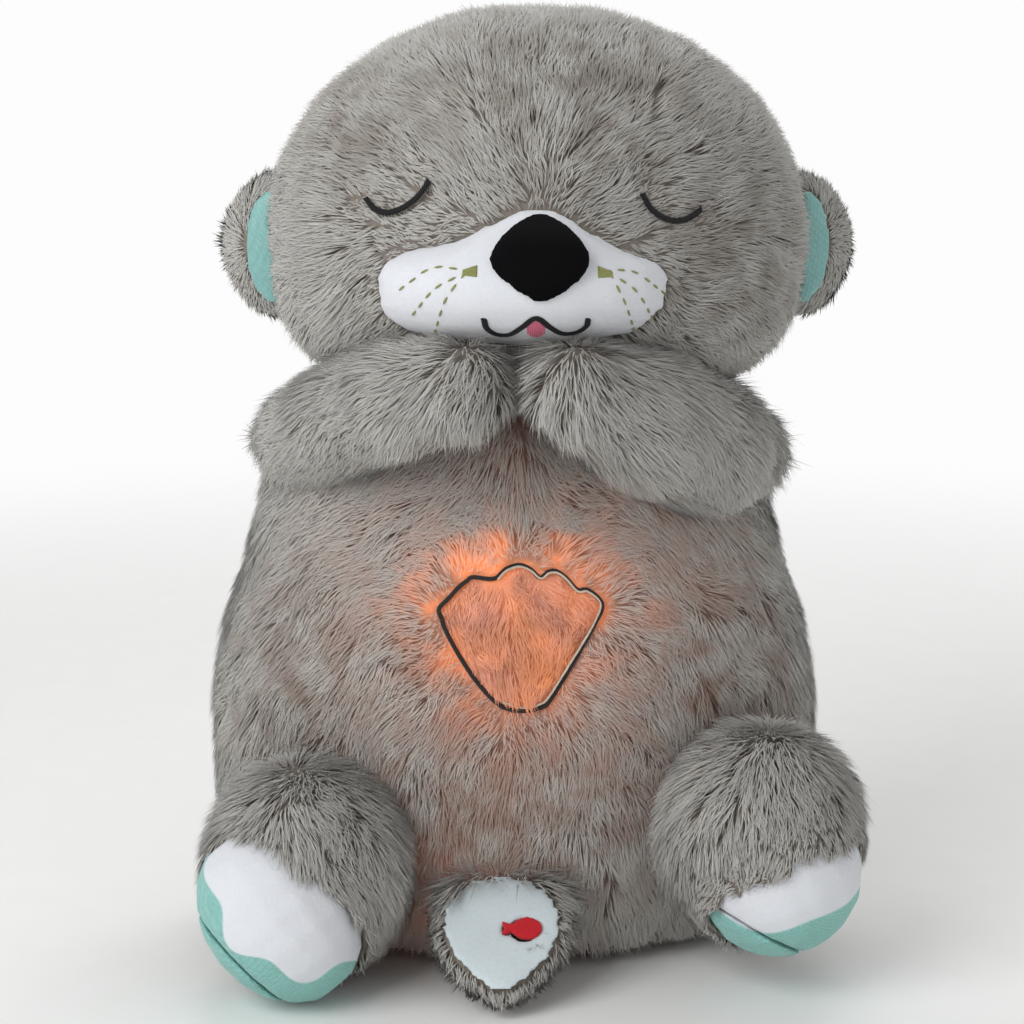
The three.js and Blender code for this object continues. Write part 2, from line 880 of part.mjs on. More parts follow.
function makeBody(torsoWhole, headGrown) {
  const hollows = [
    headGrown,
    panelSpace(seam, -torsoFront - overrun, -boxFront - seam),
    slabAlongY(boxOutline(seam), -boxFront - seam - mergeDistance, torsoBack + overrun),
    flapSpace(seam, flapFront - seam),
    plugSolid(seam),
    leadSolid(seam),
    stripSpace(hookStripFront, stripThickness, seam),
  ];
  addPiece("torso", without(torsoWhole, hollows), "fur");
  addPiece("belly_panel", torsoWhole.intersect(panelSpace(0, -torsoFront - overrun, panelBack)), "glow");
  const flapWhole = torsoWhole.intersect(flapSpace(0, flapFront));
  addPiece("closure_flap", without(flapWhole, [stripSpace(loopStripFront, stripThickness, seam)]), "fur");
  addPiece("hook_strip", stripSpace(hookStripFront, stripThickness, 0), "tape");
  addPiece("loop_strip", stripSpace(loopStripFront, stripThickness, 0), "tape");
}

const hookStripFront = flapFront - seam - stripThickness;
const loopStripFront = flapFront;

// The fastening strips run down the free edge of the flap, one let into the body's ledge and one into the
// flap.
function stripSpace(front, thickness, grow) {
  const flapReach = Math.sqrt((2 * flapHalfWidth) ** 2 - (flapHinge.y - flapFront) ** 2);
  const ledgeMiddle = (boxWidth / 2 + seam + flapHinge.x + flapReach) / 2;
  return block(
    ledgeMiddle - stripWidth / 2 - grow,
    ledgeMiddle + stripWidth / 2 + grow,
    front - grow,
    front + thickness + grow,
    boxMiddleHeight - stripLength / 2 - grow,
    boxMiddleHeight + stripLength / 2 + grow,
  );
}

// Sound box

const bossInset = boxCorner * 0.78;
const bossPlaces = [
  [-1, -1],
  [1, -1],
  [-1, 1],
  [1, 1],
].map(([right, up]) => [
  right * (boxWidth / 2 - bossInset),
  boxMiddleHeight + up * (boxHeight / 2 - bossInset),
]);
const boxBackSplit = boxSplit + seam;

function makeFrontHousing() {
  const outer = slabAlongY(boxOutline(0), -boxFront, boxSplit);
  const hollow = slabAlongY(boxOutline(-boxWall), -boxFront + boxWall, boxSplit + overrun);
  const shell = outer.subtract(hollow);
  const bosses = bossPlaces.map(([x, z]) => rodAlongY(bossRadius, -boxFront + boxWall / 2, boxSplit, x, z));
  const screwHoles = bossPlaces.map(([x, z]) =>
    rodAlongY(screwRadius + runningGap, boxSplit - screwLength, boxSplit + overrun, x, z, 8),
  );
  const wallFront = -boxFront - overrun;
  const wallBack = -boxFront + boxWall + overrun / 2;
  const posts = [-1, 1].map((side) =>
    rodAlongY(postRadius + runningGap, wallFront, wallBack, side * postReach, driveHeight),
  );
  const pins = pinPlaces.map((x) => rodAlongY(pinRadius + runningGap, wallFront, wallBack, x, driveHeight));
  const light = rodAlongY(hubOuterRadius + runningGap, wallFront, wallBack, 0, driveHeight, 32);
  const standoffs = gearboxScrewPlaces.map(([x, z]) =>
    rodAlongY(bossRadius, -boxFront + boxWall / 2, gearboxFront - seam, x, z, 12),
  );
  const open = [...screwHoles, ...posts, ...pins, light, leadOpening(), motorSpace(seam)];
  addPiece("housing_front", without(joined([shell, ...bosses, ...standoffs]), open), "casing");
}

function leadOpening() {
  return block(
    leadSocket.x - plugWidth / 2 - seam,
    leadSocket.x + plugWidth / 2 + seam,
    leadSocket.y - plugDepth / 2 - seam,
    leadSocket.y + plugDepth / 2 + seam,
    plugTop - overrun,
    plugTop + boxWall + overrun / 2,
  );
}

const batteryLow = boxMiddleHeight - boxHeight / 2 + boxWall + contactThickness + 3 * seam;
const batteryHigh = batteryLow + batteryLength;
const batteryNubHigh = batteryHigh + batteryNubLength;
const shelfHeight = batteryNubHigh + contactThickness + 3 * seam;
const speakerTop = boxMiddleHeight + boxHeight / 2 - boxWall - speakerRim - seam;
const speakerRadius = (speakerTop - shelfHeight - boxWall / 2 - speakerClearance) / 2;
const magnetRadius = speakerRadius * 0.69;
const doorBossRadius = bossRadius * 0.8;
const speakerHeight = speakerTop - speakerRadius;
const speakerBack = boxBack - boxWall - seam;
const doorScrewPlace = new THREE.Vector2(doorWidth / 2 - 2 * doorBossRadius, shelfHeight + doorBossRadius);
const doorHeight = doorScrewPlace.y + doorMargin - batteryLow;
const doorMiddleHeight = batteryLow + doorHeight / 2;
const sliderPlace = new THREE.Vector2(-boxWidth * 0.46 + sliderWidth, batteryNubHigh + 3 * sliderHeight);

function batteryPlaces() {
  return [-1, 0, 1].map((place) => place * batteryPitch);
}

function makeBackHousing() {
  const outer = slabAlongY(boxOutline(0), boxBackSplit, boxBack);
  const hollow = slabAlongY(boxOutline(-boxWall), boxBackSplit - overrun, boxBack - boxWall);
  const bosses = bossPlaces.map(([x, z]) => rodAlongY(bossRadius, boxBackSplit, boxBack - boxWall / 2, x, z));
  const shelf = block(
    -boxWidth / 2 + boxWall / 2,
    boxWidth / 2 - boxWall / 2,
    boardBack + seam,
    boxBack - boxWall / 2,
    shelfHeight,
    shelfHeight + boxWall / 2,
  );
  const doorBoss = rodAlongY(
    doorBossRadius,
    boardBack + seam,
    boxBack - boxWall - seam,
    doorScrewPlace.x,
    doorScrewPlace.y,
    14,
  );
  const solid = joined([outer.subtract(hollow), ...bosses, shelf, doorBoss]);
  const screwHoles = bossPlaces.flatMap(([x, z]) => [
    rodAlongY(screwRadius + runningGap, boxBackSplit - overrun, boxBack + overrun, x, z, 8),
    rodAlongY(screwHeadRadius + runningGap, boxBack - screwHeadHeight - seam, boxBack + overrun, x, z, 10),
  ]);
  const doorHole = slabAlongY(doorOutline(seam), boxBack - boxWall - seam, boxBack + overrun);
  const doorScrewHole = rodAlongY(
    screwRadius + 2 * runningGap,
    boardBack,
    boxBack,
    doorScrewPlace.x,
    doorScrewPlace.y,
    12,
  );
  const slot = block(
    sliderPlace.x - sliderWidth / 2 - runningGap,
    sliderPlace.x + sliderWidth / 2 + sliderTravel + runningGap,
    boxBack - boxWall - overrun / 2,
    boxBack + overrun,
    sliderPlace.y - sliderHeight / 2 - runningGap,
    sliderPlace.y + sliderHeight / 2 + runningGap,
  );
  const cuts = [...screwHoles, doorHole, doorScrewHole, slot, ...speakerSlots()];
  addPiece("housing_back", without(solid, cuts), "casing");
}

function speakerSlots() {
  const slotPitch = 2.6 * speakerSlotHeight;
  const count = 6;
  return Array.from({ length: count }, (_, i) => {
    const up = (i - (count - 1) / 2) * slotPitch;
    const half = Math.sqrt(Math.max(0, (speakerRadius * 0.85) ** 2 - up * up));
    const shape = roundedRectangle(
      2 * half,
      speakerSlotHeight,
      speakerSlotHeight * 0.48,
      0,
      speakerHeight + up,
    );
    return slabAlongY(shape, boxBack - boxWall - overrun / 2, boxBack + overrun, 1);
  });
}

function doorOutline(grow) {
  return roundedRectangle(doorWidth + 2 * grow, doorHeight + 2 * grow, boxWall, 0, doorMiddleHeight);
}

// The door swings on its left edge, whose inner corner is rounded off so that it clears the casing.
function makeBatteryDoor() {
  const front = boxBack - boxWall;
  const plate = slabAlongY(doorOutline(0), front, boxBack);
  const hole = rodAlongY(
    screwRadius + runningGap,
    front - overrun,
    boxBack + overrun,
    doorScrewPlace.x,
    doorScrewPlace.y,
    12,
  );
  const sink = rodAlongY(
    screwHeadRadius + runningGap,
    boxBack - screwHeadHeight * 0.6,
    boxBack + overrun,
    doorScrewPlace.x,
    doorScrewPlace.y,
    16,
  );
  addPiece("battery_door", without(plate, [hole, sink]), "casing");
}

function screw(x, z, headBack, headHeight, length) {
  const head = rodAlongY(screwHeadRadius, headBack - headHeight, headBack, x, z, 10);
  const shank = rodAlongY(screwRadius, headBack - length, headBack - headHeight / 2, x, z, 8);
  const slot = block(
    x - screwHeadRadius * 0.7,
    x + screwHeadRadius * 0.7,
    headBack - headHeight * 0.5,
    headBack + overrun,
    z - screwHeadRadius * 0.14,
    z + screwHeadRadius * 0.14,
  );
  const cross = block(
    x - screwHeadRadius * 0.14,
    x + screwHeadRadius * 0.14,
    headBack - headHeight * 0.5,
    headBack + overrun,
    z - screwHeadRadius * 0.7,
    z + screwHeadRadius * 0.7,
  );
  return without(head.add(shank), [slot, cross]);
}

function makeScrews() {
  bossPlaces.forEach(([x, z], i) => {
    const length = boxBack - boxSplit + screwLength * 0.6;
    addPiece(`housing_screw_${i + 1}`, screw(x, z, boxBack - seam, screwHeadHeight - seam, length), "steel");
  });
  addPiece(
    "door_screw",
    screw(doorScrewPlace.x, doorScrewPlace.y, boxBack, screwHeadHeight * 0.6 - seam, doorScrewLength),
    "steel",
  );
}

function makeBatteries() {
  batteryPlaces().forEach((x, i) => {
    const can = rodAlongZ(batteryRadius, batteryLow, batteryHigh, x, batteryMiddleBack, 24);
    const nub = rodAlongZ(
      batteryNubRadius,
      batteryHigh - batteryNubLength,
      batteryNubHigh,
      x,
      batteryMiddleBack,
      12,
    );
    addPiece(`battery_${i + 1}`, can.add(nub), "label");
  });
  const reach = batteryPitch + batteryRadius * 0.6;
  const contact = (low, high) =>
    block(
      -reach,
      reach,
      batteryMiddleBack - batteryRadius * 0.6,
      batteryMiddleBack + batteryRadius * 0.6,
      low,
      high,
    );
  addPiece("contact_top", contact(batteryNubHigh + seam, batteryNubHigh + seam + contactThickness), "steel");
  const lowContact = contact(batteryLow - seam - contactThickness, batteryLow - seam);
  addPiece("contact_bottom", lowContact, "steel");
}

function makeBoard() {
  const margin = boxWall + 2 * seam;
  const plate = slabAlongY(
    roundedRectangle(boxWidth - 2 * margin, boxHeight - 2 * margin, boxCorner - boxWall, 0, boxMiddleHeight),
    boardFront,
    boardBack,
    2,
  );
  const bossHoles = bossPlaces.map(([x, z]) =>
    rodAlongY(bossRadius + seam, boardFront - overrun, boardBack + overrun, x, z, 16),
  );
  const magnetHole = rodAlongY(
    magnetRadius + seam,
    boardFront - overrun,
    boardBack + overrun,
    0,
    speakerHeight,
    24,
  );
  const chip = block(
    boxWidth * 0.16,
    boxWidth * 0.36,
    boardFront - chipHeight,
    boardFront + boardThickness / 2,
    driveHeight - boxHeight * 0.1,
    driveHeight + boxHeight * 0.06,
  );
  addPiece("circuit_board", without(plate.add(chip), [...bossHoles, magnetHole]), "board");
}

function coneAlongY(frontRadius, backRadius, front, back, z, sides) {
  const geometry = new THREE.CylinderGeometry(backRadius, frontRadius, back - front, sides);
  geometry.translate(0, (front + back) / 2, z);
  return solidOf(geometry);
}

// The speaker faces the back of the box: a basket, a paper cone inside it and a magnet on its front.
function makeSpeaker() {
  const sides = 20;
  const basketFront = speakerBack - speakerDepth + magnetThickness;
  const basket = coneAlongY(
    magnetRadius,
    speakerRadius,
    basketFront,
    speakerBack - speakerRim,
    speakerHeight,
    sides,
  );
  const rim = rodAlongY(speakerRadius, speakerBack - speakerRim, speakerBack, 0, speakerHeight, sides);
  const inside = coneAlongY(
    magnetRadius - basketWall,
    speakerRadius - basketWall,
    basketFront + basketWall,
    speakerBack - speakerRim + mergeDistance,
    speakerHeight,
    sides,
  );
  const mouth = rodAlongY(
    speakerRadius - basketWall,
    speakerBack - speakerRim - mergeDistance,
    speakerBack + overrun,
    0,
    speakerHeight,
    sides,
  );
  addPiece("speaker_frame", without(basket.add(rim), [inside, mouth]), "steel");
  const coneBack = speakerBack - speakerRim;
  const coneFront = basketFront + basketWall + seam;
  const outerCone = coneAlongY(
    magnetRadius - basketWall - seam,
    speakerRadius - basketWall - seam,
    coneFront,
    coneBack,
    speakerHeight,
    sides,
  );
  const innerCone = coneAlongY(
    magnetRadius - basketWall - seam - coneWall,
    speakerRadius - basketWall - seam - coneWall,
    coneFront + coneWall,
    coneBack + mergeDistance,
    speakerHeight,
    sides,
  );
  addPiece("speaker_cone", outerCone.subtract(innerCone), "paper");
  const magnetBack = basketFront - seam;
  const magnet = rodAlongY(
    magnetRadius,
    magnetBack - magnetThickness,
    magnetBack,
    0,
    speakerHeight,
    sides,
  );
  addPiece("speaker_magnet", magnet, "steel");
}

function makeSlider() {
  const knob = block(
    sliderPlace.x - sliderWidth / 2,
    sliderPlace.x + sliderWidth / 2,
    boxBack - boxWall - seam,
    boxBack,
    sliderPlace.y - sliderHeight / 2,
    sliderPlace.y + sliderHeight / 2,
  );
  const foot = block(
    sliderPlace.x - sliderWidth * 0.7,
    sliderPlace.x + sliderWidth * 0.7,
    boxBack - 2 * boxWall - seam,
    boxBack - boxWall - seam,
    sliderPlace.y - sliderHeight * 0.8,
    sliderPlace.y + sliderHeight * 0.8,
  );
  const ribs = [-1, 0, 1].map((place) => {
    const middle = sliderPlace.x + place * sliderWidth * 0.28;
    return block(
      middle - sliderWidth * 0.06,
      middle + sliderWidth * 0.06,
      boxBack - seam,
      boxBack + overrun,
      sliderPlace.y - sliderHeight,
      sliderPlace.y + sliderHeight,
    );
  });
  addPiece("power_slider", without(knob.add(foot), ribs), "darkPlastic");
}

// Gears

// A gear's outline, four points a tooth, as angle and radius. Straight flanks, thinned for a running gap.
function toothPoints(teeth, addendumShare, dedendumShare, toothShare) {
  const pitchRadius = (teeth * gearModule) / 2;
  const flankSlope = Math.tan(THREE.MathUtils.degToRad(20));
  const halfTooth = toothShare * Math.PI * gearModule;
  const tip = pitchRadius + addendumShare * gearModule;
  const root = pitchRadius - dedendumShare * gearModule;
  const halfTip = (halfTooth - addendumShare * gearModule * flankSlope) / tip;
  const halfRoot = (halfTooth + dedendumShare * gearModule * flankSlope) / root;
  const points = [];
  for (let tooth = 0; tooth < teeth; tooth += 1) {
    const middle = (2 * Math.PI * tooth) / teeth;
    points.push([middle - halfRoot, root]);
    points.push([middle - halfTip, tip]);
    points.push([middle + halfTip, tip]);
    points.push([middle + halfRoot, root]);
  }
  return points;
}

// A gear about the Y axis. Its outline turns by the twist from its front face to its back face.
function gearSolid({ teeth, front, back, x, z, startAngle, twist = 0, addendum = 0.8, tooth = 0.21 }) {
  const outline = toothPoints(teeth, addendum, 1.05, tooth);
  const faces = [back, front];
  const rings = faces.map((y, i) =>
    outline.map(([angle, radius]) => {
      const turn = angle + startAngle + (i === 0 ? twist / 2 : -twist / 2);
      return new THREE.Vector3(x + radius * Math.cos(turn), y, z + radius * Math.sin(turn));
    }),
  );
  return solidOf(loft(rings));
}

const camPitchRadius = (camTeeth * gearModule) / 2;
const pinionPitchRadius = (pinionTeeth * gearModule) / 2;
const wheelPitchRadius = (wheelTeeth * gearModule) / 2;
const wormPitchRadius = (wormRootRadius + wormTipRadius) / 2;
const pinionTurn = THREE.MathUtils.degToRad(pinionAngle);
const axlePlace = new THREE.Vector2(
  (camPitchRadius + pinionPitchRadius) * Math.cos(pinionTurn),
  driveHeight + (camPitchRadius + pinionPitchRadius) * Math.sin(pinionTurn),
);
const wormHeight = axlePlace.y - wheelPitchRadius - wormPitchRadius - runningGap;
const wormPitch = Math.PI * gearModule;
const pinPlaceRadius = (camOuterRadius + camInnerRadius) / 2;
const pinPlaces = [-pinPlaceRadius, pinPlaceRadius];
const camValley = gearFront - camBase;
const gearboxScrewHigh = boxMiddleHeight + boxHeight / 2 - bossInset - gearboxScrewDrop;
const gearboxScrewPlaces = [
  [-boxWidth * 0.36, gearboxScrewHigh],
  [boxWidth * 0.36, gearboxScrewHigh],
  [-boxWidth * 0.36, driveHeight - boxHeight * 0.17],
  [boxWidth * 0.36, driveHeight - boxHeight * 0.17],
];

// The face cam: a ring with two rises and two falls in a turn, each a quarter turn long.
function camRing() {
  const quarterSteps = 10;
  const steps = 4 * quarterSteps;
  const section = (angle, high) => {
    const face = camValley - breathTravel * high;
    const at = (radius, y) =>
      new THREE.Vector3(radius * Math.cos(angle), y, driveHeight + radius * Math.sin(angle));
    return [
      at(camInnerRadius, gearFront + camSink),
      at(camOuterRadius, gearFront + camSink),
      at(camOuterRadius, face),
      at(camInnerRadius, face),
    ];
  };
  const sections = Array.from({ length: steps }, (_, i) => {
    const place = (i / quarterSteps) % 2;
    return section((2 * Math.PI * i) / steps, 1 - Math.abs(1 - place));
  });
  return closedLoop(sections);
}

// Joins sections round a loop, the last one back to the first.
function closedLoop(sections) {
  const corners = sections[0].length;
  const index = [];
  sections.forEach((_, i) => {
    const here = i * corners;
    const there = ((i + 1) % sections.length) * corners;
    for (let corner = 0; corner < corners; corner += 1) {
      const next = (corner + 1) % corners;
      index.push(here + corner, there + next, here + next);
      index.push(here + corner, there + corner, there + next);
    }
  });
  const geometry = new THREE.BufferGeometry().setFromPoints(sections.flat());
  geometry.setIndex(index);
  return solidOf(geometry);
}

function makeCamGear() {
  const disc = gearSolid({
    teeth: camTeeth,
    front: gearFront,
    back: gearBack,
    x: 0,
    z: driveHeight,
    startAngle: pinionTurn + Math.PI / camTeeth,
  });
  const bore = rodAlongY(
    hubOuterRadius + runningGap,
    gearFront - overrun,
    gearBack + overrun,
    0,
    driveHeight,
    24,
  );
  addPiece("cam_gear", disc.add(camRing()).subtract(bore), "gearPlastic");
}

function makeWormWheel() {
  const leadTurn = Math.atan(wormPitch / (2 * Math.PI * wormPitchRadius));
  const pinion = gearSolid({
    teeth: pinionTeeth,
    front: gearFront,
    back: gearBack,
    x: axlePlace.x,
    z: axlePlace.y,
    startAngle: pinionTurn,
    addendum: 0.75,
    tooth: 0.19,
  });
  const wheel = gearSolid({
    teeth: wheelTeeth,
    front: wheelFront,
    back: wheelBack,
    x: axlePlace.x,
    z: axlePlace.y,
    startAngle: -Math.PI / 2,
    twist: (wheelWidth * Math.tan(leadTurn)) / wheelPitchRadius,
    addendum: 0.7,
    tooth: 0.17,
  });
  const neck = rodAlongY(
    pinionPitchRadius * 0.66,
    gearBack - gearWidth / 2,
    wheelFront + wheelWidth / 2,
    ...axle(),
  );
  const bore = rodAlongY(axleRadius + runningGap / 2, gearFront - overrun, wheelBack + overrun, ...axle());
  addPiece("worm_wheel", joined([pinion, wheel, neck]).subtract(bore), "gearPlastic");
}

function axle() {
  return [axlePlace.x, axlePlace.y, 24];
}

function makeAxle() {
  const front = -boxFront + boxWall + seam;
  const back = boardFront - seam;
  addPiece("gear_axle", rodAlongY(axleRadius, front, back, ...axle()), "steel");
}

// The worm: rings along X whose radius rises where the thread passes.
function wormSolid() {
  const sides = 10;
  const stepsPerTurn = 5;
  const steps = Math.round((wormLength / wormPitch) * stepsPerTurn);
  const rings = Array.from({ length: steps + 1 }, (_, i) => {
    const x = wormLeft + (wormLength * i) / steps;
    return Array.from({ length: sides }, (__, side) => {
      const angle = (2 * Math.PI * side) / sides;
      const turns = (x - axlePlace.x) / wormPitch - (angle - Math.PI / 2) / (2 * Math.PI) + 0.5;
      const away = Math.abs(turns - Math.round(turns));
      const rise = THREE.MathUtils.clamp((0.33 - away) / 0.2, 0, 1);
      const radius = THREE.MathUtils.lerp(wormRootRadius, wormTipRadius, rise);
      return new THREE.Vector3(
        x,
        wormMiddleBack + radius * Math.cos(angle),
        wormHeight + radius * Math.sin(angle),
      );
    });
  });
  return solidOf(loft(rings));
}

const wormLeft = axlePlace.x - wormLength / 2;
const motorRight = wormLeft - motorBossLength - 2 * seam;
const motorLeft = motorRight - motorLength;

function motorSpace(grow) {
  return block(
    motorLeft - grow,
    motorRight + grow,
    wormMiddleBack - motorDepth / 2 - grow,
    wormMiddleBack + motorDepth / 2 + grow,
    wormHeight - motorHeight / 2 - grow,
    wormHeight + motorHeight / 2 + grow,
  );
}

function makeMotor() {
  const round = rodAlongX(motorHeight / 2, motorLeft, motorRight, wormMiddleBack, wormHeight, 32);
  const can = motorSpace(0).intersect(round);
  const boss = rodAlongX(
    motorBossRadius,
    motorRight - seam,
    motorRight + motorBossLength,
    wormMiddleBack,
    wormHeight,
  );
  const shaft = rodAlongX(
    motorShaftRadius,
    motorRight - seam,
    wormLeft + wormLength,
    wormMiddleBack,
    wormHeight,
    12,
  );
  addPiece("motor", joined([can, boss, shaft]), "steel");
  const bore = rodAlongX(
    motorShaftRadius + runningGap / 2,
    wormLeft - overrun,
    wormLeft + wormLength + overrun,
    wormMiddleBack,
    wormHeight,
    12,
  );
  addPiece("worm", wormSolid().subtract(bore), "gearPlastic");
}

// The gearbox plate stands on four posts of the front housing and carries the hollow hub that the cam turns
// on.
function makeGearboxPlate() {
  const high = gearboxScrewPlaces[0][1] + bossRadius;
  const low = axlePlace.y - pinionPitchRadius - bossRadius;
  const plate = slabAlongY(
    roundedRectangle(boxWidth * 0.84, high - low, boxCorner / 2, 0, (high + low) / 2),
    gearboxFront,
    gearboxBack,
  );
  const hub = rodAlongY(hubOuterRadius, -boxFront, gearboxBack - gearboxWall / 2, 0, driveHeight, 24);
  const hubHollow = rodAlongY(
    hubOuterRadius - hubWall,
    -boxFront - overrun,
    gearboxBack + overrun,
    0,
    driveHeight,
    24,
  );
  const neckHole = rodAlongY(
    pinionPitchRadius * 0.66 + runningGap,
    gearboxFront - overrun,
    gearboxBack + overrun,
    ...axle(),
  );
  const cradleHigh = wormHeight + motorHeight / 2 + seam + boxWall;
  const cradle = block(
    -boxWidth * 0.36,
    Math.min(wormLeft - motorBossLength - 3 * seam, axlePlace.x - wheelPitchRadius - gearModule - seam),
    gearboxBack - gearboxWall / 2,
    wormMiddleBack + motorDepth / 4,
    cradleHigh - boxWall,
    cradleHigh,
  );
  const cuts = [hubHollow, neckHole, ...postHoles()];
  addPiece("gearbox_plate", without(joined([plate, hub, cradle]), cuts), "casing");
}

// The plate is open where the posts of the breath plate and their clips come near.
function postHoles() {
  return [-1, 1].map((side) =>
    rodAlongY(
      clipRadius + 2 * runningGap,
      gearboxFront - overrun,
      gearboxBack + overrun,
      side * postReach,
      driveHeight,
      12,
    ),
  );
}

// The lights sit on a round board inside the hub, behind the lens.
function makeLightBoard() {
  const boardPlace = gearFront;
  const disc = rodAlongY(
    hubOuterRadius - hubWall - seam,
    boardPlace,
    boardPlace + boardThickness,
    0,
    driveHeight,
    32,
  );
  const lamps = [0, 1, 2].map((i) => {
    const angle = (2 * Math.PI * i) / 3 + Math.PI / 2;
    const reach = hubOuterRadius * 0.45;
    const geometry = new THREE.SphereGeometry(lampRadius, 8, 5);
    geometry.translate(reach * Math.cos(angle), boardPlace, driveHeight + reach * Math.sin(angle));
    return solidOf(geometry);
  });
  addPiece("light_board", joined([disc, ...lamps]), "diffuser");
}

// Breath plate

function makeBreathPlate() {
  const plate = slabAlongY(
    roundedRectangle(plateWidth, plateHeight, plateCorner, 0, plateMiddleHeight),
    plateFront,
    plateBack,
  );
  const rampSlope = Math.atan(breathTravel / ((Math.PI / 2) * (pinPlaceRadius - pinRadius)));
  const tipMiddle = camValley - pinRadius / Math.cos(rampSlope) - runningGap;
  const pins = pinPlaces.map((x) => {
    const rod = rodAlongY(pinRadius, plateBack - plateThickness / 2, tipMiddle, x, driveHeight, 16);
    const tip = new THREE.SphereGeometry(pinRadius, 12, 6);
    tip.translate(x, tipMiddle, driveHeight);
    return rod.add(solidOf(tip));
  });
  const posts = [-1, 1].map((side) =>
    rodAlongY(
      postRadius,
      plateBack - plateThickness / 2,
      plateBack + postLength,
      side * postReach,
      driveHeight,
    ),
  );
  const grooves = [-1, 1].map((side) => {
    const back = clipFront + clipThickness + seam;
    const front = clipFront - seam;
    const neckRadius = postRadius * 0.7;
    const keep = rodAlongY(neckRadius, front - overrun, back + overrun, side * postReach, driveHeight);
    const band = rodAlongY(postRadius * 2, front, back, side * postReach, driveHeight);
    return band.subtract(keep);
  });
  const lensHole = rodAlongY(
    lensRadius + seam,
    plateFront - overrun,
    plateFront + lensThickness + seam,
    0,
    driveHeight,
    24,
  );
  const lightHole = rodAlongY(
    lensRadius * 0.84,
    plateFront - overrun,
    plateBack + overrun,
    0,
    driveHeight,
    24,
  );
  const pieces = joined([plate, ...pins, ...posts]);
  addPiece("breath_plate", without(pieces, [lensHole, lightHole, ...grooves]), "casing");
  const lens = rodAlongY(lensRadius, plateFront, plateFront + lensThickness, 0, driveHeight, 24);
  addPiece("light_lens", lens, "diffuser");
}

const clipFront = plateBack + postLength - 2.2 * clipThickness;
const springFront = -boxFront + boxWall + seam;
const springBack = clipFront - seam;

function makeClip(side) {
  const disc = rodAlongY(clipRadius, clipFront, clipFront + clipThickness, side * postReach, driveHeight, 20);
  const hole = rodAlongY(
    postRadius * 0.7 + runningGap / 2,
    clipFront - overrun,
    clipFront + clipThickness + overrun,
    side * postReach,
    driveHeight,
    16,
  );
  const mouth = block(
    side * postReach - postRadius * 0.6,
    side * postReach + postRadius * 0.6,
    clipFront - overrun,
    clipFront + clipThickness + overrun,
    driveHeight - 2 * clipRadius,
    driveHeight,
  );
  return disc.subtract(hole.add(mouth));
}

// A coil spring round a post: one unbroken wire of five sides.
function springSolid(side) {
  const stepsPerTurn = 8;
  const sides = 5;
  const steps = springTurns * stepsPerTurn;
  const radius = postRadius + runningGap + springWire * 0.6;
  const front = springFront + springWire / 2;
  const back = springBack - springWire / 2;
  const rings = Array.from({ length: steps + 1 }, (_, i) => {
    const angle = (2 * Math.PI * i) / stepsPerTurn;
    const y = THREE.MathUtils.lerp(front, back, i / steps);
    const out = new THREE.Vector3(Math.cos(angle), 0, Math.sin(angle));
    const middle = new THREE.Vector3(side * postReach, y, driveHeight).addScaledVector(out, radius);
    return Array.from({ length: sides }, (__, corner) => {
      const turn = (2 * Math.PI * corner) / sides;
      const point = middle.clone().addScaledVector(out, (springWire / 2) * Math.cos(turn));
      point.y += (springWire / 2) * Math.sin(turn);
      return point;
    });
  });
  return solidOf(loft(rings));
}

function makeSprings() {
  [
    ["left", -1],
    ["right", 1],
  ].forEach(([word, side]) => {
    addPiece(`post_clip_${word}`, makeClip(side), "steel");
    addPiece(`breath_spring_${word}`, springSolid(side), "steel");
  });
}

// Head, limbs and tail

function makeHead() {
  const headGrown = solidOf(swollen(headSkin(), seam));
  const muzzle = without(solidOf(muzzleSkin()), [headGrown]);
  const muzzleGrown = solidOf(swollen(muzzleSkin(), seam));
  addPiece("head", solidOf(headSkin()), "fur");
  addPiece("muzzle", muzzle, "fleece");
  addPiece("nose", without(solidOf(noseSkin()), [muzzleGrown, headGrown]), "velvet");
  [
    ["left", -1],
    ["right", 1],
  ].forEach(([word, side]) => {
    const liningGrown = solidOf(swollen(earLiningSkin(side), seam));
    addPiece(`ear_${word}`, without(solidOf(earSkin(side)), [headGrown, liningGrown]), "fur");
    addPiece(`ear_lining_${word}`, without(solidOf(earLiningSkin(side)), [headGrown]), "teal");
  });
  return [headGrown, muzzleGrown];
}

// Takes away what a limb would meet anywhere along its swing.
function clearOnSwing(limbSolid, neighbours, pivot, axis, degrees) {
  const poses = 3;
  const cutters = [];
  for (let pose = 0; pose < poses; pose += 1) {
    const turn = (-degrees * pose) / (poses - 1);
    neighbours.forEach((neighbour) => cutters.push(turned(neighbour, pivot, axis, turn)));
  }
  return without(limbSolid, cutters);
}

// The half of space beyond the plane where the paws meet.
function beyondPaws(side) {
  const size = 4 * torsoHalfWidth;
  const middle = torsoHalfWidth * pawMeetShare;
  const left = side < 0 ? middle - seam / 2 : -size;
  const right = side < 0 ? size : middle + seam / 2;
  return block(left, right, -size, size, 0, size);
}

function makeArms(neighbours) {
  const upright = new THREE.Vector3(0, 0, 1);
  [
    ["left", -1],
    ["right", 1],
  ].forEach(([word, side]) => {
    const solid = solidOf(armSkin(word)).subtract(beyondPaws(side));
    const clear = clearOnSwing(solid, neighbours, armPivot(word), upright, side * armSwing);
    addPiece(`arm_${word}`, largestOf(clear), "fur");
  });
}

// The main body of a solid, without slivers that a cut leaves.
function largestOf(solid) {
  return solid.decompose().reduce((best, next) => (next.volume() > best.volume() ? next : best));
}

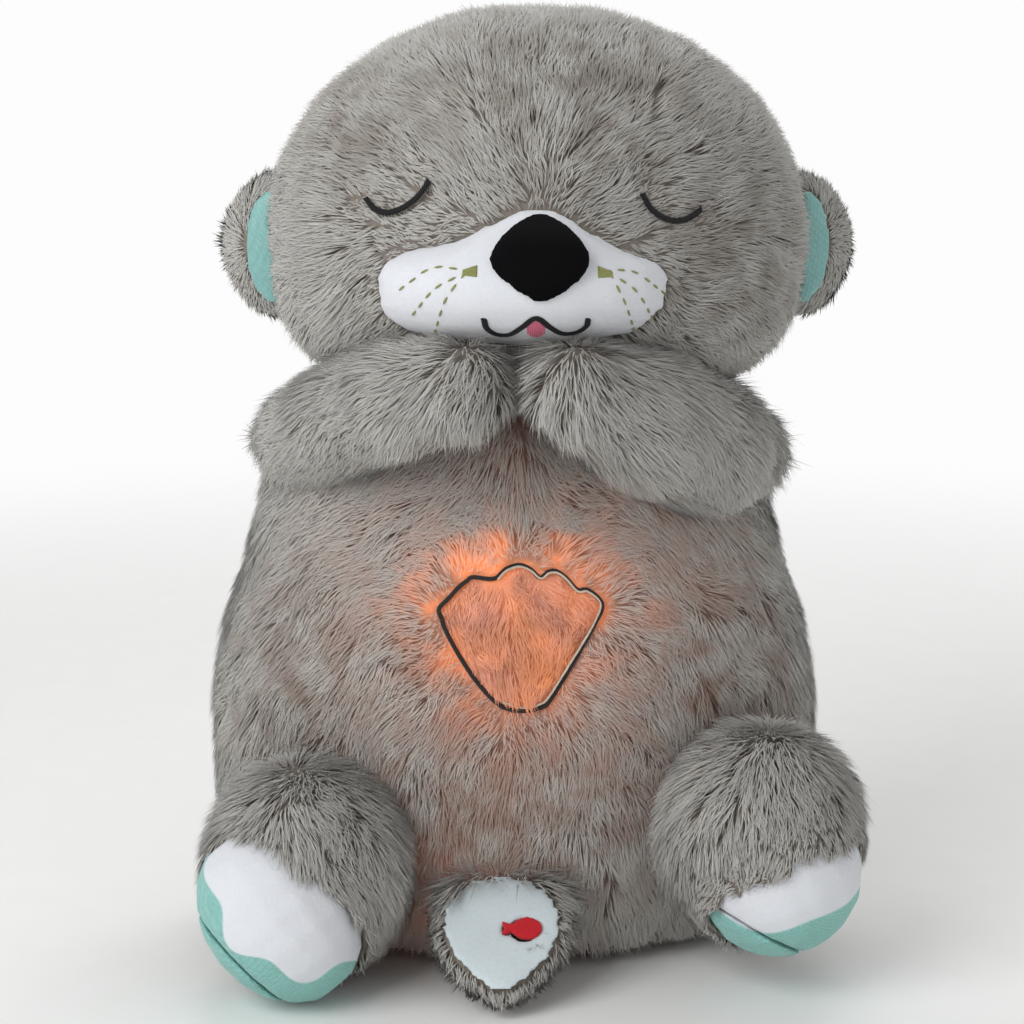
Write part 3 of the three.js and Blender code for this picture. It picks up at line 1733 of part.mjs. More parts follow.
function makeLegs(torsoGrown) {
  return ["left", "right"].flatMap((word) => {
    const footGrown = solidOf(swollen(footSkin(word), seam));
    const leg = without(solidOf(legSkin(word)), [torsoGrown, footGrown]);
    addPiece(`leg_${word}`, largestOf(leg), "fur");
    const foot = without(solidOf(footSkin(word)), [torsoGrown, floorSpace()]);
    addPiece(`foot_${word}`, foot.subtract(soleSpace(word, seam)), "fleece");
    addPiece(`sole_${word}`, foot.intersect(soleSpace(word, 0)), "teal");
    return [solidOf(swollen(legSkin(word), seam)), footGrown];
  });
}

function build() {
  const torsoWhole = solidOf(torsoSkin());
  const torsoGrown = solidOf(swollen(torsoSkin(), seam));
  const [headGrown, muzzleGrown] = makeHead();
  makeBody(torsoWhole, headGrown);
  makeArms([torsoGrown, headGrown, muzzleGrown]);
  const legsGrown = makeLegs(torsoGrown);
  makeTail([torsoGrown, ...legsGrown]);
  makeFrontHousing();
  makeBackHousing();
  makeBatteryDoor();
  makeScrews();
  makeBatteries();
  makeBoard();
  makeSpeaker();
  makeSlider();
  makeCamGear();
  makeWormWheel();
  makeAxle();
  makeMotor();
  makeGearboxPlate();
  makeLightBoard();
  makeBreathPlate();
  makeSprings();
  addPiece("tail_lead", leadSolid(0), "darkPlastic");
  addPiece("lead_plug", plugSolid(0), "casing");
}

build();

// The whole stands with its base at zero and the middle of its plan on the origin.
const bounds = new THREE.Box3().setFromObject(toy);
const middle = bounds.getCenter(new THREE.Vector3());
toy.position.set(-middle.x, -middle.y, -bounds.min.z);

const object = new THREE.Group();
object.add(toy);

export default object;
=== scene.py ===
import json
import math

import bmesh
import bpy
import numpy as np
from mathutils import Matrix, Vector
from mathutils.bvhtree import BVHTree


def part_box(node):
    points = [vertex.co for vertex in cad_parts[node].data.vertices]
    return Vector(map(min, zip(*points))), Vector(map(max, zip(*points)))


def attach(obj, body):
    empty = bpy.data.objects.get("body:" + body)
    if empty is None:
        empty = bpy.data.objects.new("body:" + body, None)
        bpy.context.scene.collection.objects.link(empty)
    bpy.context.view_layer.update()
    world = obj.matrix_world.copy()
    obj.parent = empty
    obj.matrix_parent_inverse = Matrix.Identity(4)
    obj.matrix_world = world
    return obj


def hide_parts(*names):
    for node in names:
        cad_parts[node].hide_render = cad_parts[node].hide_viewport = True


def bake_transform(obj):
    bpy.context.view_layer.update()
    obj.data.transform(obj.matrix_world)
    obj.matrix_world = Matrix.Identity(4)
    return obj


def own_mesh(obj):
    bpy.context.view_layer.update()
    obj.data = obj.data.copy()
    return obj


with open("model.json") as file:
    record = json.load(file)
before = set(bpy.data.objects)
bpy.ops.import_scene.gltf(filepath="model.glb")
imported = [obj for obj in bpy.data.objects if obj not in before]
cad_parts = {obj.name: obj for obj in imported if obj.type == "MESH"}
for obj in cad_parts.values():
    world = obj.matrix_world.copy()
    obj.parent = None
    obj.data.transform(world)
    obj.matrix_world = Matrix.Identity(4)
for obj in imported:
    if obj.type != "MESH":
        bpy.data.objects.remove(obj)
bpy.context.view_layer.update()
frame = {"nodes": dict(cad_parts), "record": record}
nodes = frame["nodes"]
print("frame loaded:", len(nodes), "nodes")

# Lengths below are in millimetres from the middle of the seat, under the belly, unless a note says metres.
lowTorso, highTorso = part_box("torso")
origin = Vector(((lowTorso.x + highTorso.x) / 2, lowTorso.y + 0.061, 0))
originRow = np.array(origin)


def spot(x, y, z):
    return origin + Vector((x, y, z)) / 1000


# the camera as it stood for the photograph, and the studio
cameraSet = {
    "place": (0, -886.3, 306.3),
    "target": (-0.65, 0, 137.4),
    "focal": 96.95,
    "film": 36,
    "picture": 1024,
}

cameraData = bpy.data.cameras.new("camera")
cameraData.lens = cameraSet["focal"]
cameraData.sensor_width = cameraSet["film"]
camera = bpy.data.objects.new("camera", cameraData)
bpy.context.scene.collection.objects.link(camera)
camera.location = spot(*cameraSet["place"])
sight = (spot(*cameraSet["target"]) - camera.location).normalized()
camera.rotation_mode = "QUATERNION"
camera.rotation_quaternion = sight.to_track_quat("-Z", "Y")
bpy.context.scene.camera = camera
bpy.context.scene.view_settings.view_transform = "Standard"
sideways = sight.cross(Vector((0, 0, 1))).normalized()
upwards = sideways.cross(sight).normalized()


def sightLine(column, row):
    focal = cameraSet["focal"] / cameraSet["film"] * cameraSet["picture"]
    half = cameraSet["picture"] / 2
    return (sight * focal + sideways * (column - half) - upwards * (row - half)).normalized()


def node(tree, kind, inputs=None, **settings):
    made = tree.nodes.new(kind)
    for key, value in settings.items():
        setattr(made, key, value)
    for key, value in (inputs or {}).items():
        if isinstance(value, bpy.types.NodeSocket):
            tree.links.new(value, made.inputs[key])
        else:
            made.inputs[key].default_value = value
    return made


roomSet = {
    "floor": (0.93, 0.93, 0.92, 1),
    "floorGrain": 30.0,
    "floorShades": 0.01,
    "floorRoughness": 0.9,
    "backdrop": (0.98, 0.98, 0.98, 1),
    "ambient": (1.0, 1.0, 1.0, 1),
    "ambientStrength": 0.34,
    "floorSize": 8.0,
    "nearFloor": 0.34,
    "farFloor": 0.95,
}

world = bpy.data.worlds.new("studio")
bpy.context.scene.world = world
world.use_nodes = True
room = world.node_tree
room.nodes.clear()
path = node(room, "ShaderNodeLightPath")
seenDirectly = node(room, "ShaderNodeMath", {0: path.outputs["Is Camera Ray"],
                                             1: path.outputs["Is Glossy Ray"]}, operation="MAXIMUM")
seenAtAll = node(room, "ShaderNodeMath", {0: seenDirectly.outputs[0],
                                          1: path.outputs["Is Transmission Ray"]}, operation="MAXIMUM")
lit = node(room, "ShaderNodeBackground", {"Color": roomSet["ambient"], "Strength": roomSet["ambientStrength"]})
shown = node(room, "ShaderNodeBackground", {"Color": roomSet["backdrop"], "Strength": 1.0})
choice = node(room, "ShaderNodeMixShader", {0: seenAtAll.outputs[0], 1: lit.outputs[0], 2: shown.outputs[0]})
node(room, "ShaderNodeOutputWorld", {"Surface": choice.outputs[0]})

lampSet = {
    "key": {"place": (-720, -820, 760), "size": 0.9, "watts": 10.0, "aim": (0, -20, 150)},
    "fill": {"place": (900, -700, 380), "size": 1.1, "watts": 1.9, "aim": (0, -20, 140)},
    "crown": {"place": (120, 500, 1000), "size": 0.9, "watts": 4.8, "aim": (0, 0, 200)},
}
for lampName, lamp in lampSet.items():
    data = bpy.data.lights.new(lampName, "AREA")
    data.size = lamp["size"]
    data.energy = lamp["watts"]
    lampObject = bpy.data.objects.new(lampName, data)
    bpy.context.scene.collection.objects.link(lampObject)
    lampObject.location = spot(*lamp["place"])
    lampObject.rotation_mode = "QUATERNION"
    toward = spot(*lamp["aim"]) - lampObject.location
    lampObject.rotation_quaternion = toward.to_track_quat("-Z", "Y")


# helpers for meshes
def newObject(name, mesh):
    made = bpy.data.objects.new(name, mesh)
    bpy.context.scene.collection.objects.link(made)
    return made


def meshOf(name, points, faces, edges=()):
    mesh = bpy.data.meshes.new(name)
    mesh.from_pydata([tuple(p) for p in points], list(edges), list(faces))
    mesh.update()
    return mesh


def settle(piece):
    # the modifiers' result becomes the piece's plain mesh
    graph = bpy.context.evaluated_depsgraph_get()
    mesh = bpy.data.meshes.new_from_object(piece.evaluated_get(graph), preserve_all_data_layers=True,
                                           depsgraph=graph)
    old = piece.data
    piece.modifiers.clear()
    piece.data = mesh
    if old.users == 0:
        bpy.data.meshes.remove(old)


def valuesOf(collection, name, kind=np.float32):
    flat = np.zeros(len(collection), kind)
    collection.foreach_get(name, flat)
    return flat


def vectorsOf(collection, name):
    flat = np.zeros(len(collection) * 3, np.float32)
    collection.foreach_get(name, flat)
    return flat.reshape(-1, 3)


def placesOf(mesh):
    return vectorsOf(mesh.vertices, "co").astype(float)


def setPlaces(mesh, places):
    mesh.vertices.foreach_set("co", places.astype(np.float32).ravel())
    mesh.update()


def normalsOf(mesh):
    return vectorsOf(mesh.vertex_normals, "vector").astype(float)


def inMillimetres(places):
    return (places - originRow) * 1000


def inMetres(places):
    return places / 1000 + originRow


def reshaped(piece, change):
    setPlaces(piece.data, inMetres(change(inMillimetres(placesOf(piece.data)))))


def unit(vectors):
    return vectors / np.maximum(np.linalg.norm(vectors, axis=-1, keepdims=True), 1e-9)


def smoothStep(value, start, end):
    share = np.clip((value - start) / (end - start), 0, 1)
    return share * share * (3 - 2 * share)


weldReach = 2e-5


def welded(nodeNames):
    shape = bmesh.new()
    for nodeName in nodeNames:
        shape.from_mesh(nodes[nodeName].data)
    bmesh.ops.remove_doubles(shape, verts=shape.verts, dist=weldReach)
    return shape


def joinedCopy(name, nodeNames):
    shape = welded(nodeNames)
    mesh = bpy.data.meshes.new(name)
    shape.to_mesh(mesh)
    shape.free()
    return newObject(name, mesh)


def treeOf(*nodeNames):
    shape = welded(nodeNames)
    made = BVHTree.FromBMesh(shape)
    shape.free()
    return made


probe = {"course": (0.31, 0.17, 0.935), "most": 40, "step": 1e-6}


def isInside(tree, place):
    # a ray from inside a closed form meets its skin an odd number of times
    course = Vector(probe["course"])
    start, crossings = Vector(place), 0
    while crossings < probe["most"]:
        hit = tree.ray_cast(start, course)[0]
        if hit is None:
            break
        crossings += 1
        start = hit + course * probe["step"]
    return crossings % 2 == 1


def onSurface(tree, column, row):
    # where the picture's column and row fall on a surface, and the way that it faces there
    return tree.ray_cast(camera.location, sightLine(column, row))[:2]


def shareAwayFrom(places, nodeNames, reach, touching=0.4):
    # 0 against the named pieces, 1 from a reach in millimetres away
    tree = treeOf(*nodeNames)
    away = np.array([tree.find_nearest(Vector(place))[3] for place in places]) * 1000
    return smoothStep(away, touching, reach)


def smoothed(piece, rounds):
    relax = piece.modifiers.new("relax", "SMOOTH")
    relax.iterations = rounds
    settle(piece)


def paint(piece, material):
    piece.data.materials.clear()
    piece.data.materials.append(material)


def shadeSmooth(piece):
    piece.data.polygons.foreach_set("use_smooth", [True] * len(piece.data.polygons))
    piece.data.update()


stuffedSet = {"besideReach": 2.5, "besideGap": 1, "lastRounds": 2}


def stuffed(name, nodeNames, voxel, inset=0.0, cap=0.0, relaxRounds=4, setBack=None, refine=0, beside=()):
    # the CAD form as a fine skin, set back by the pile's height and swollen by its filling
    piece = joinedCopy(name, nodeNames)
    voxels = piece.modifiers.new("voxels", "REMESH")
    voxels.mode = "VOXEL"
    voxels.voxel_size = voxel
    settle(piece)
    smoothed(piece, relaxRounds)
    places, normals = placesOf(piece.data), normalsOf(piece.data)
    share = np.ones(len(places)) if setBack is None else setBack(inMillimetres(places), normals)
    if beside:
        reach = stuffedSet["besideReach"] * inset * 1000 + stuffedSet["besideGap"]
        share = share * shareAwayFrom(places, beside, reach)
    setPlaces(piece.data, places - normals * (inset * share)[:, None])
    smoothed(piece, stuffedSet["lastRounds"])
    if cap:
        fill(piece, cap, share)
    if refine:
        finer = piece.modifiers.new("finer", "SUBSURF")
        finer.levels = finer.render_levels = refine
        settle(piece)
    shadeSmooth(piece)
    print("stuffed", name, len(piece.data.vertices), "points")
    return piece


fillSet = {"quality": 4, "mass": 0.3, "tension": 12, "compression": 8, "bending": 0.4, "pressure": 4.0,
           "steps": 20}


def fill(piece, cap, share):
    # the filling presses from inside, and no point moves further than the cap
    scene = bpy.context.scene
    start = placesOf(piece.data)
    cloth = piece.modifiers.new("cloth", "CLOTH")
    cloth.settings.quality = fillSet["quality"]
    cloth.settings.mass = fillSet["mass"]
    cloth.settings.tension_stiffness = fillSet["tension"]
    cloth.settings.compression_stiffness = fillSet["compression"]
    cloth.settings.bending_stiffness = fillSet["bending"]
    cloth.settings.use_pressure = True
    cloth.settings.uniform_pressure_force = fillSet["pressure"]
    cloth.settings.effector_weights.gravity = 0
    cloth.collision_settings.use_collision = False
    cloth.point_cache.frame_start = 1
    cloth.point_cache.frame_end = fillSet["steps"]
    for step in range(1, fillSet["steps"] + 1):
        scene.frame_set(step)
    graph = bpy.context.evaluated_depsgraph_get()
    swollen = placesOf(piece.evaluated_get(graph).data)
    piece.modifiers.clear()
    scene.frame_set(1)
    moved = swollen - start
    length = np.linalg.norm(moved, axis=1)
    moved *= (np.minimum(length, cap) / np.maximum(length, 1e-9) * share)[:, None]
    setPlaces(piece.data, start + moved)


# shader node groups
def group(name, inputs, outputs):
    made = bpy.data.node_groups.new(name, "ShaderNodeTree")
    for label, kind, value in inputs:
        socket = made.interface.new_socket(label, in_out="INPUT", socket_type=kind)
        socket.default_value = value
    for label, kind in outputs:
        made.interface.new_socket(label, in_out="OUTPUT", socket_type=kind)
    return made, node(made, "NodeGroupInput"), node(made, "NodeGroupOutput")


colour, decimal = "NodeSocketColor", "NodeSocketFloat"


def mixColour(tree, factor, first, second):
    return node(tree, "ShaderNodeMix", {0: factor, 6: first, 7: second}, data_type="RGBA").outputs[2]


def calculate(tree, operation, first, second=0.0):
    return node(tree, "ShaderNodeMath", {0: first, 1: second}, operation=operation).outputs[0]


def vector(tree, operation, first, second=None, scale=None):
    inputs = {0: first}
    if second is not None:
        inputs[1] = second
    if scale is not None:
        inputs[3] = scale
    return node(tree, "ShaderNodeVectorMath", inputs, operation=operation).outputs


def noise(tree, place, scale, detail):
    return node(tree, "ShaderNodeTexNoise", {"Vector": place, "Scale": scale, "Detail": detail}).outputs["Fac"]


def ranged(tree, value, low, high, first=0.0, last=1.0):
    return node(tree, "ShaderNodeMapRange", {0: value, 1: low, 2: high, 3: first, 4: last}).outputs[0]


# pile settings: the glow tints and the rim, core and wide lights are painted glow, and the shade depth is
# painted shade
pileSet = {
    "patchNoise": (34.0, 3.0),
    "clumpNoise": (95.0, 2.0),
    "clumps": (0.38, 0.62),
    "tips": (0.0, 0.7),
    "paintedShadeDepth": 0.72,
    "tufts": (0.0, 1.0, 0.62, 1.1),
    "corePatches": (0.44, 0.6),
    "paleGlowTint": (0.60, 0.31, 0.235, 1),
    "deepGlowTint": (0.74, 0.29, 0.11, 1),
    "coreGlowShare": 0.88,
    "patchyWide": (0.35, 0.65, 0.45, 1.15),
    "patchyRim": (0.4, 0.62, 0.3, 1.35),
    "wideGlowTint": (0.50, 0.24, 0.16, 1),
    "wideGlowShare": 0.4,
    "tipShadow": 0.6,
    "rimLight": (0.75, 0.17, 0.02),
    "coreLight": (0.25, 0.07, 0.035),
    "wideLight": (0.13, 0.03, 0.012),
    "roughness": (0.0, 1.0, 0.75, 0.95),
}


def pileColour():
    # the pile: roots darker than tips, each lock its own tone, painted shade where marked, and painted glow:
    # the light of the lamp behind the belly painted into the base colour and given out as emission
    tree, given, result = group(
        "pileColour",
        [("Tip", colour, (0.5, 0.5, 0.5, 1)), ("Root", colour, (0.2, 0.2, 0.2, 1)), ("Spread", decimal, 0.35)],
        [("Color", colour), ("Glow", colour), ("Roughness", decimal)],
    )

    def attribute(name, output="Fac"):
        return node(tree, "ShaderNodeAttribute", attribute_name=name).outputs[output]

    def times(first, second):
        return calculate(tree, "MULTIPLY", first, second)

    def halfOfEach(first, second):
        return calculate(tree, "ADD", times(first, 0.5), times(second, 0.5))

    def between(value, name):
        return ranged(tree, value, *pileSet[name])

    def lightOf(name, strength):
        return vector(tree, "SCALE", pileSet[name], scale=strength)[0]

    tip, shade = attribute("tip"), attribute("shade")
    inside, rim, wide = node(tree, "ShaderNodeSeparateColor", {0: attribute("glow", "Color")}).outputs
    where = node(tree, "ShaderNodeTexCoord").outputs["Object"]
    patches = noise(tree, where, *pileSet["patchNoise"])
    clumpNoise = noise(tree, where, *pileSet["clumpNoise"])
    clumps = between(clumpNoise, "clumps")
    # painted shade: where marked, the root colour runs further up the hair
    paintedShadeShare = times(times(attribute("paintedShade"), clumps), pileSet["paintedShadeDepth"])
    upTheHair = times(between(tip, "tips"), calculate(tree, "SUBTRACT", 1.0, paintedShadeShare))
    plain = mixColour(tree, upTheHair, given.outputs["Root"], given.outputs["Tip"])
    brightness = ranged(tree, halfOfEach(shade, patches), 0.0, 1.0,
                        calculate(tree, "SUBTRACT", 1.0, given.outputs["Spread"]),
                        calculate(tree, "ADD", 1.0, given.outputs["Spread"]))
    shaded = vector(tree, "SCALE", plain, scale=brightness)[0]
    tufts = between(halfOfEach(shade, clumps), "tufts")
    # painted glow: inside the shell the base colour turns orange, as light from behind would colour it
    coreGlowTint = mixColour(tree, between(patches, "corePatches"), pileSet["paleGlowTint"], pileSet["deepGlowTint"])
    coreGlowColour = vector(tree, "SCALE", coreGlowTint, scale=tufts)[0]
    throughLight = mixColour(tree, times(inside, pileSet["coreGlowShare"]), shaded, coreGlowColour)
    patchyWide = times(wide, between(clumpNoise, "patchyWide"))
    patchyRim = times(rim, between(clumpNoise, "patchyRim"))
    # painted glow: round the shell the base colour is warmed, as the lamp's light would warm it
    glowTinted = mixColour(tree, times(patchyWide, pileSet["wideGlowShare"]), throughLight, pileSet["wideGlowTint"])
    # painted glow as emission at the rim, in the core and round about, weaker toward the tips
    deep = calculate(tree, "SUBTRACT", 1.0, times(tip, pileSet["tipShadow"]))
    nearLight = vector(tree, "ADD", lightOf("rimLight", times(patchyRim, deep)),
                       lightOf("coreLight", times(inside, tufts)))[0]
    allLight = vector(tree, "ADD", nearLight, lightOf("wideLight", times(patchyWide, deep)))[0]
    for name, value in (("Color", glowTinted), ("Glow", allLight), ("Roughness", between(shade, "roughness"))):
        tree.links.new(value, result.inputs[name])
    return tree


clothSet = {
    "fibreDetail": 4.0,
    "clouds": (60.0, 3.0),
    "ribTurn": (0.5, 0.3, 0.78),
    "ribDistortion": 0.6,
    "ribTone": 0.3,
    "tones": (0.3, 0.75),
    "roughness": (0.0, 1.0, 0.7, 0.95),
    "relief": 0.0004,
}


def clothGrain():
    # short cloth pile, felt and knit: fine height and a little variation of colour
    tree, given, result = group(
        "clothGrain",
        [("Base", colour, (0.5, 0.5, 0.5, 1)), ("Grain", decimal, 900.0), ("Variation", decimal, 0.08),
         ("Ribs", decimal, 0.0), ("Rib Pitch", decimal, 900.0)],
        [("Color", colour), ("Height", decimal), ("Roughness", decimal)],
    )
    where = node(tree, "ShaderNodeTexCoord").outputs["Object"]
    fibres = noise(tree, where, given.outputs["Grain"], clothSet["fibreDetail"])
    clouds = noise(tree, where, *clothSet["clouds"])
    turned = node(tree, "ShaderNodeMapping", {"Vector": where, "Rotation": clothSet["ribTurn"]}).outputs[0]
    waves = [node(tree, "ShaderNodeTexWave", {
        "Vector": turned, "Scale": given.outputs["Rib Pitch"], "Distortion": clothSet["ribDistortion"]},
        bands_direction=direction).outputs["Fac"] for direction in ("X", "Y")]
    ribs = calculate(tree, "MULTIPLY", calculate(tree, "MULTIPLY", *waves), given.outputs["Ribs"])
    evenTone = calculate(tree, "ADD", calculate(tree, "MULTIPLY", fibres, 0.5),
                         calculate(tree, "MULTIPLY", clouds, 0.5))
    allTone = calculate(tree, "ADD", evenTone, calculate(tree, "MULTIPLY", ribs, clothSet["ribTone"]))
    tone = ranged(tree, allTone, *clothSet["tones"],
                  calculate(tree, "SUBTRACT", 1.0, given.outputs["Variation"]),
                  calculate(tree, "ADD", 1.0, given.outputs["Variation"]))
    for name, value in (
            ("Color", vector(tree, "SCALE", given.outputs["Base"], scale=tone)[0]),
            ("Height", calculate(tree, "ADD", fibres, ribs)),
            ("Roughness", ranged(tree, fibres, *clothSet["roughness"]))):
        tree.links.new(value, result.inputs[name])
    return tree


pileGroup, clothGroup = pileColour(), clothGrain()


def blank(name):
    made = bpy.data.materials.new(name)
    made.use_nodes = True
    tree = made.node_tree
    tree.nodes.clear()
    shader = node(tree, "ShaderNodeBsdfPrincipled")
    node(tree, "ShaderNodeOutputMaterial", {"Surface": shader.outputs[0]})
    return made, tree, shader


def placed(tree, shared, **values):
    made = node(tree, "ShaderNodeGroup", node_tree=shared)
    for key, value in values.items():
        made.inputs[key.replace("_", " ")].default_value = value
    return made


def furMaterial(name, tip, root, spread, sheen):
    made, tree, shader = blank(name)
    pile = placed(tree, pileGroup, Tip=(*tip, 1), Root=(*root, 1), Spread=spread)
    tree.links.new(pile.outputs["Color"], shader.inputs["Base Color"])
    tree.links.new(pile.outputs["Roughness"], shader.inputs["Roughness"])
    # painted glow: the fur gives out the pile's glow as emission, though it is no lamp
    tree.links.new(pile.outputs["Glow"], shader.inputs["Emission Color"])
    shader.inputs["Emission Strength"].default_value = 1.0
    shader.inputs["Specular IOR Level"].default_value = 0.2
    shader.inputs["Sheen Weight"].default_value = sheen
    return made


def clothMaterial(name, base, grain=900.0, variation=0.08, bump=0.25, sheen=0.2, ribs=0.0, pitch=900.0,
                  gloss=0.25, fixedRoughness=None):
    made, tree, shader = blank(name)
    cloth = placed(tree, clothGroup, Base=(*base, 1), Grain=grain, Variation=variation, Ribs=ribs,
                   Rib_Pitch=pitch)
    relief = node(tree, "ShaderNodeBump", {"Strength": bump, "Distance": clothSet["relief"],
                                           "Height": cloth.outputs["Height"]})
    tree.links.new(cloth.outputs["Color"], shader.inputs["Base Color"])
    tree.links.new(relief.outputs[0], shader.inputs["Normal"])
    if fixedRoughness is None:
        tree.links.new(cloth.outputs["Roughness"], shader.inputs["Roughness"])
    else:
        shader.inputs["Roughness"].default_value = fixedRoughness
    shader.inputs["Specular IOR Level"].default_value = gloss
    shader.inputs["Sheen Weight"].default_value = sheen
    return made


mouldedSet = {"relief": 0.0002, "uneven": 0.08}


def mouldedMaterial(name, base, roughness=0.5, grain=1400.0, bump=0.06, metallic=0.0, variation=0.05):
    made, tree, shader = blank(name)
    cloth = placed(tree, clothGroup, Base=(*base, 1), Grain=grain, Variation=variation)
    relief = node(tree, "ShaderNodeBump", {"Strength": bump, "Distance": mouldedSet["relief"],
                                           "Height": cloth.outputs["Height"]})
    rough = ranged(tree, cloth.outputs["Roughness"], *clothSet["roughness"][2:],
                   roughness - mouldedSet["uneven"], roughness + mouldedSet["uneven"])
    tree.links.new(cloth.outputs["Color"], shader.inputs["Base Color"])
    tree.links.new(rough, shader.inputs["Roughness"])
    tree.links.new(relief.outputs[0], shader.inputs["Normal"])
    shader.inputs["Metallic"].default_value = metallic
    return made


clothColours = {
    "fleece": (0.73, 0.75, 0.79),
    "teal_knit": (0.24, 0.50, 0.46),
}
finishes = {
    "fur": furMaterial("furGrey", (0.50, 0.49, 0.46), (0.22, 0.185, 0.155), spread=0.24, sheen=0.12),
    "furSkin": furMaterial("furBacking", (0.25, 0.22, 0.19), (0.25, 0.22, 0.19), spread=0.1, sheen=0.0),
    "fleece": clothMaterial("whiteFleece", clothColours["fleece"], grain=1100.0, variation=0.04, bump=0.4),
    "velvet": clothMaterial("blackVelvet", (0.0028, 0.0028, 0.0034), grain=1500.0, variation=0.3, bump=0.3,
                            sheen=0.0, gloss=0.05),
    "teal_satin": clothMaterial("tealSatin", (0.21, 0.44, 0.42), grain=700.0, variation=0.14, bump=0.3,
                                ribs=0.8, pitch=260.0, fixedRoughness=0.42, gloss=0.5, sheen=0.15),
    "teal_knit": clothMaterial("tealKnit", clothColours["teal_knit"], grain=900.0, variation=0.16, bump=0.6,
                               ribs=1.2, pitch=300.0),
    "pale_cloth": clothMaterial("paleCloth", (0.62, 0.70, 0.73), grain=900.0, variation=0.08, bump=0.3),
    "red_cloth": clothMaterial("redFelt", (0.56, 0.012, 0.022), grain=1200.0, variation=0.2, bump=0.6),
    "blackThread": clothMaterial("blackThread", (0.008, 0.008, 0.009), grain=2500.0, variation=0.3, sheen=0.1),
    # painted shade: the seam's recess, as a near-black thread colour
    "seamShadow": clothMaterial("seamShadow", (0.022, 0.020, 0.018), grain=2500.0, variation=0.3),
    "oliveThread": clothMaterial("oliveThread", (0.27, 0.28, 0.10), grain=2500.0, variation=0.25),
    "pinkThread": clothMaterial("pinkThread", (0.68, 0.17, 0.26), grain=2500.0, variation=0.2),
    "beigeThread": clothMaterial("beigeThread", (0.60, 0.52, 0.42), grain=2500.0, variation=0.2),
    "tape": clothMaterial("tapeWeave", (0.26, 0.27, 0.25), grain=1400.0, variation=0.2, bump=0.8, ribs=1.0,
                          pitch=420.0),
    "casing": mouldedMaterial("casingPlastic", (0.77, 0.77, 0.74), roughness=0.5),
    "gear_plastic": mouldedMaterial("gearPlastic", (0.86, 0.84, 0.76), roughness=0.38),
    "dark_plastic": mouldedMaterial("darkPlastic", (0.02, 0.022, 0.024), roughness=0.42),
    "diffuser": mouldedMaterial("diffuserPlastic", (0.92, 0.86, 0.74), roughness=0.6, bump=0.1),
    "steel": mouldedMaterial("plainSteel", (0.5, 0.51, 0.53), roughness=0.34, metallic=1.0, grain=800.0),
    "board": mouldedMaterial("boardLacquer", (0.02, 0.14, 0.06), roughness=0.36, variation=0.2, grain=500.0),
    "battery_wrap": mouldedMaterial("batteryWrap", (0.05, 0.11, 0.27), roughness=0.24, bump=0.02),
    "speaker_paper": mouldedMaterial("speakerPaper", (0.03, 0.028, 0.026), roughness=0.85, bump=0.3),
}
for part in frame["record"]["subparts"]:
    slotName = part["material_slot"]
    paint(nodes[part["node"]], finishes["fur" if slotName == "glow_fur" else slotName])
print("materials made:", len(finishes))

stage = meshOf("floor", [(-1, -1, 0), (1, -1, 0), (1, 1, 0), (-1, 1, 0)], [(0, 1, 2, 3)])
stage.transform(Matrix.Scale(roomSet["floorSize"] / 2, 4))
floor = newObject("floor", stage)
floorMaterial, floorTree, floorShader = blank("paleFloor")
floorGrain = placed(floorTree, clothGroup, Base=roomSet["floor"], Grain=roomSet["floorGrain"],
                    Variation=roomSet["floorShades"])
floorTree.links.new(floorGrain.outputs["Color"], floorShader.inputs["Base Color"])
floorShader.inputs["Roughness"].default_value = roomSet["floorRoughness"]
floorPlace = node(floorTree, "ShaderNodeMapping", {
    "Vector": node(floorTree, "ShaderNodeTexCoord").outputs["Object"], "Location": tuple(-origin)}).outputs[0]
floorReach = vector(floorTree, "LENGTH", floorPlace)["Value"]
farShare = node(floorTree, "ShaderNodeMapRange", {
    0: floorReach, 1: roomSet["nearFloor"], 2: roomSet["farFloor"]},
    interpolation_type="SMOOTHSTEP").outputs[0]
floorPath = node(floorTree, "ShaderNodeLightPath")
farSeen = calculate(floorTree, "MULTIPLY", farShare, floorPath.outputs["Is Camera Ray"])
paleGlow = node(floorTree, "ShaderNodeEmission", {"Color": roomSet["backdrop"], "Strength": 1.0}).outputs[0]
floorMix = node(floorTree, "ShaderNodeMixShader", {0: farSeen, 1: floorShader.outputs[0], 2: paleGlow})
floorEnd = next(end for end in floorTree.nodes if end.bl_idname == "ShaderNodeOutputMaterial")
floorTree.links.new(floorMix.outputs[0], floorEnd.inputs["Surface"])
paint(floor, floorMaterial)
# the fur coat as Geometry Nodes: one thin bent spindle per wisp, gathered in locks
wispSet = {
    "swirlNoise": (55.0, 1.0),
    "swirl": 2.2,
    "stray": 0.34,
    "length": (0.72, 1.15, 11),
    "lift": (0.6, 1.15, 12),
    "width": (0.6, 1.3, 13),
    "ownShade": (0.0, 0.4, 14),
    "lockShade": 0.6,
    "thick": 0.06,
    "broad": 1.5,
    "leanBend": 1.35,
    "riseBend": 1.5,
}
socketKinds = {"Geometry": "NodeSocketGeometry", "Material": "NodeSocketMaterial", "Seed": "NodeSocketInt"}


def geometryTree(name, labels):
    # a geometry group with the labelled inputs between its first, Geometry, and its last, Material
    tree = bpy.data.node_groups.new(name, "GeometryNodeTree")
    for label in ("Geometry", *labels, "Material"):
        tree.interface.new_socket(label, in_out="INPUT", socket_type=socketKinds.get(label, decimal))
    tree.interface.new_socket("Geometry", in_out="OUTPUT", socket_type="NodeSocketGeometry")
    return tree, node(tree, "NodeGroupInput").outputs, node(tree, "NodeGroupOutput")


def named(tree, label, kind="FLOAT"):
    return node(tree, "GeometryNodeInputNamedAttribute", {"Name": label}, data_type=kind).outputs["Attribute"]


def dressed(tree, instances, material):
    real = node(tree, "GeometryNodeRealizeInstances", {0: instances}).outputs[0]
    return node(tree, "GeometryNodeSetMaterial", {"Geometry": real, "Material": material}).outputs[0]


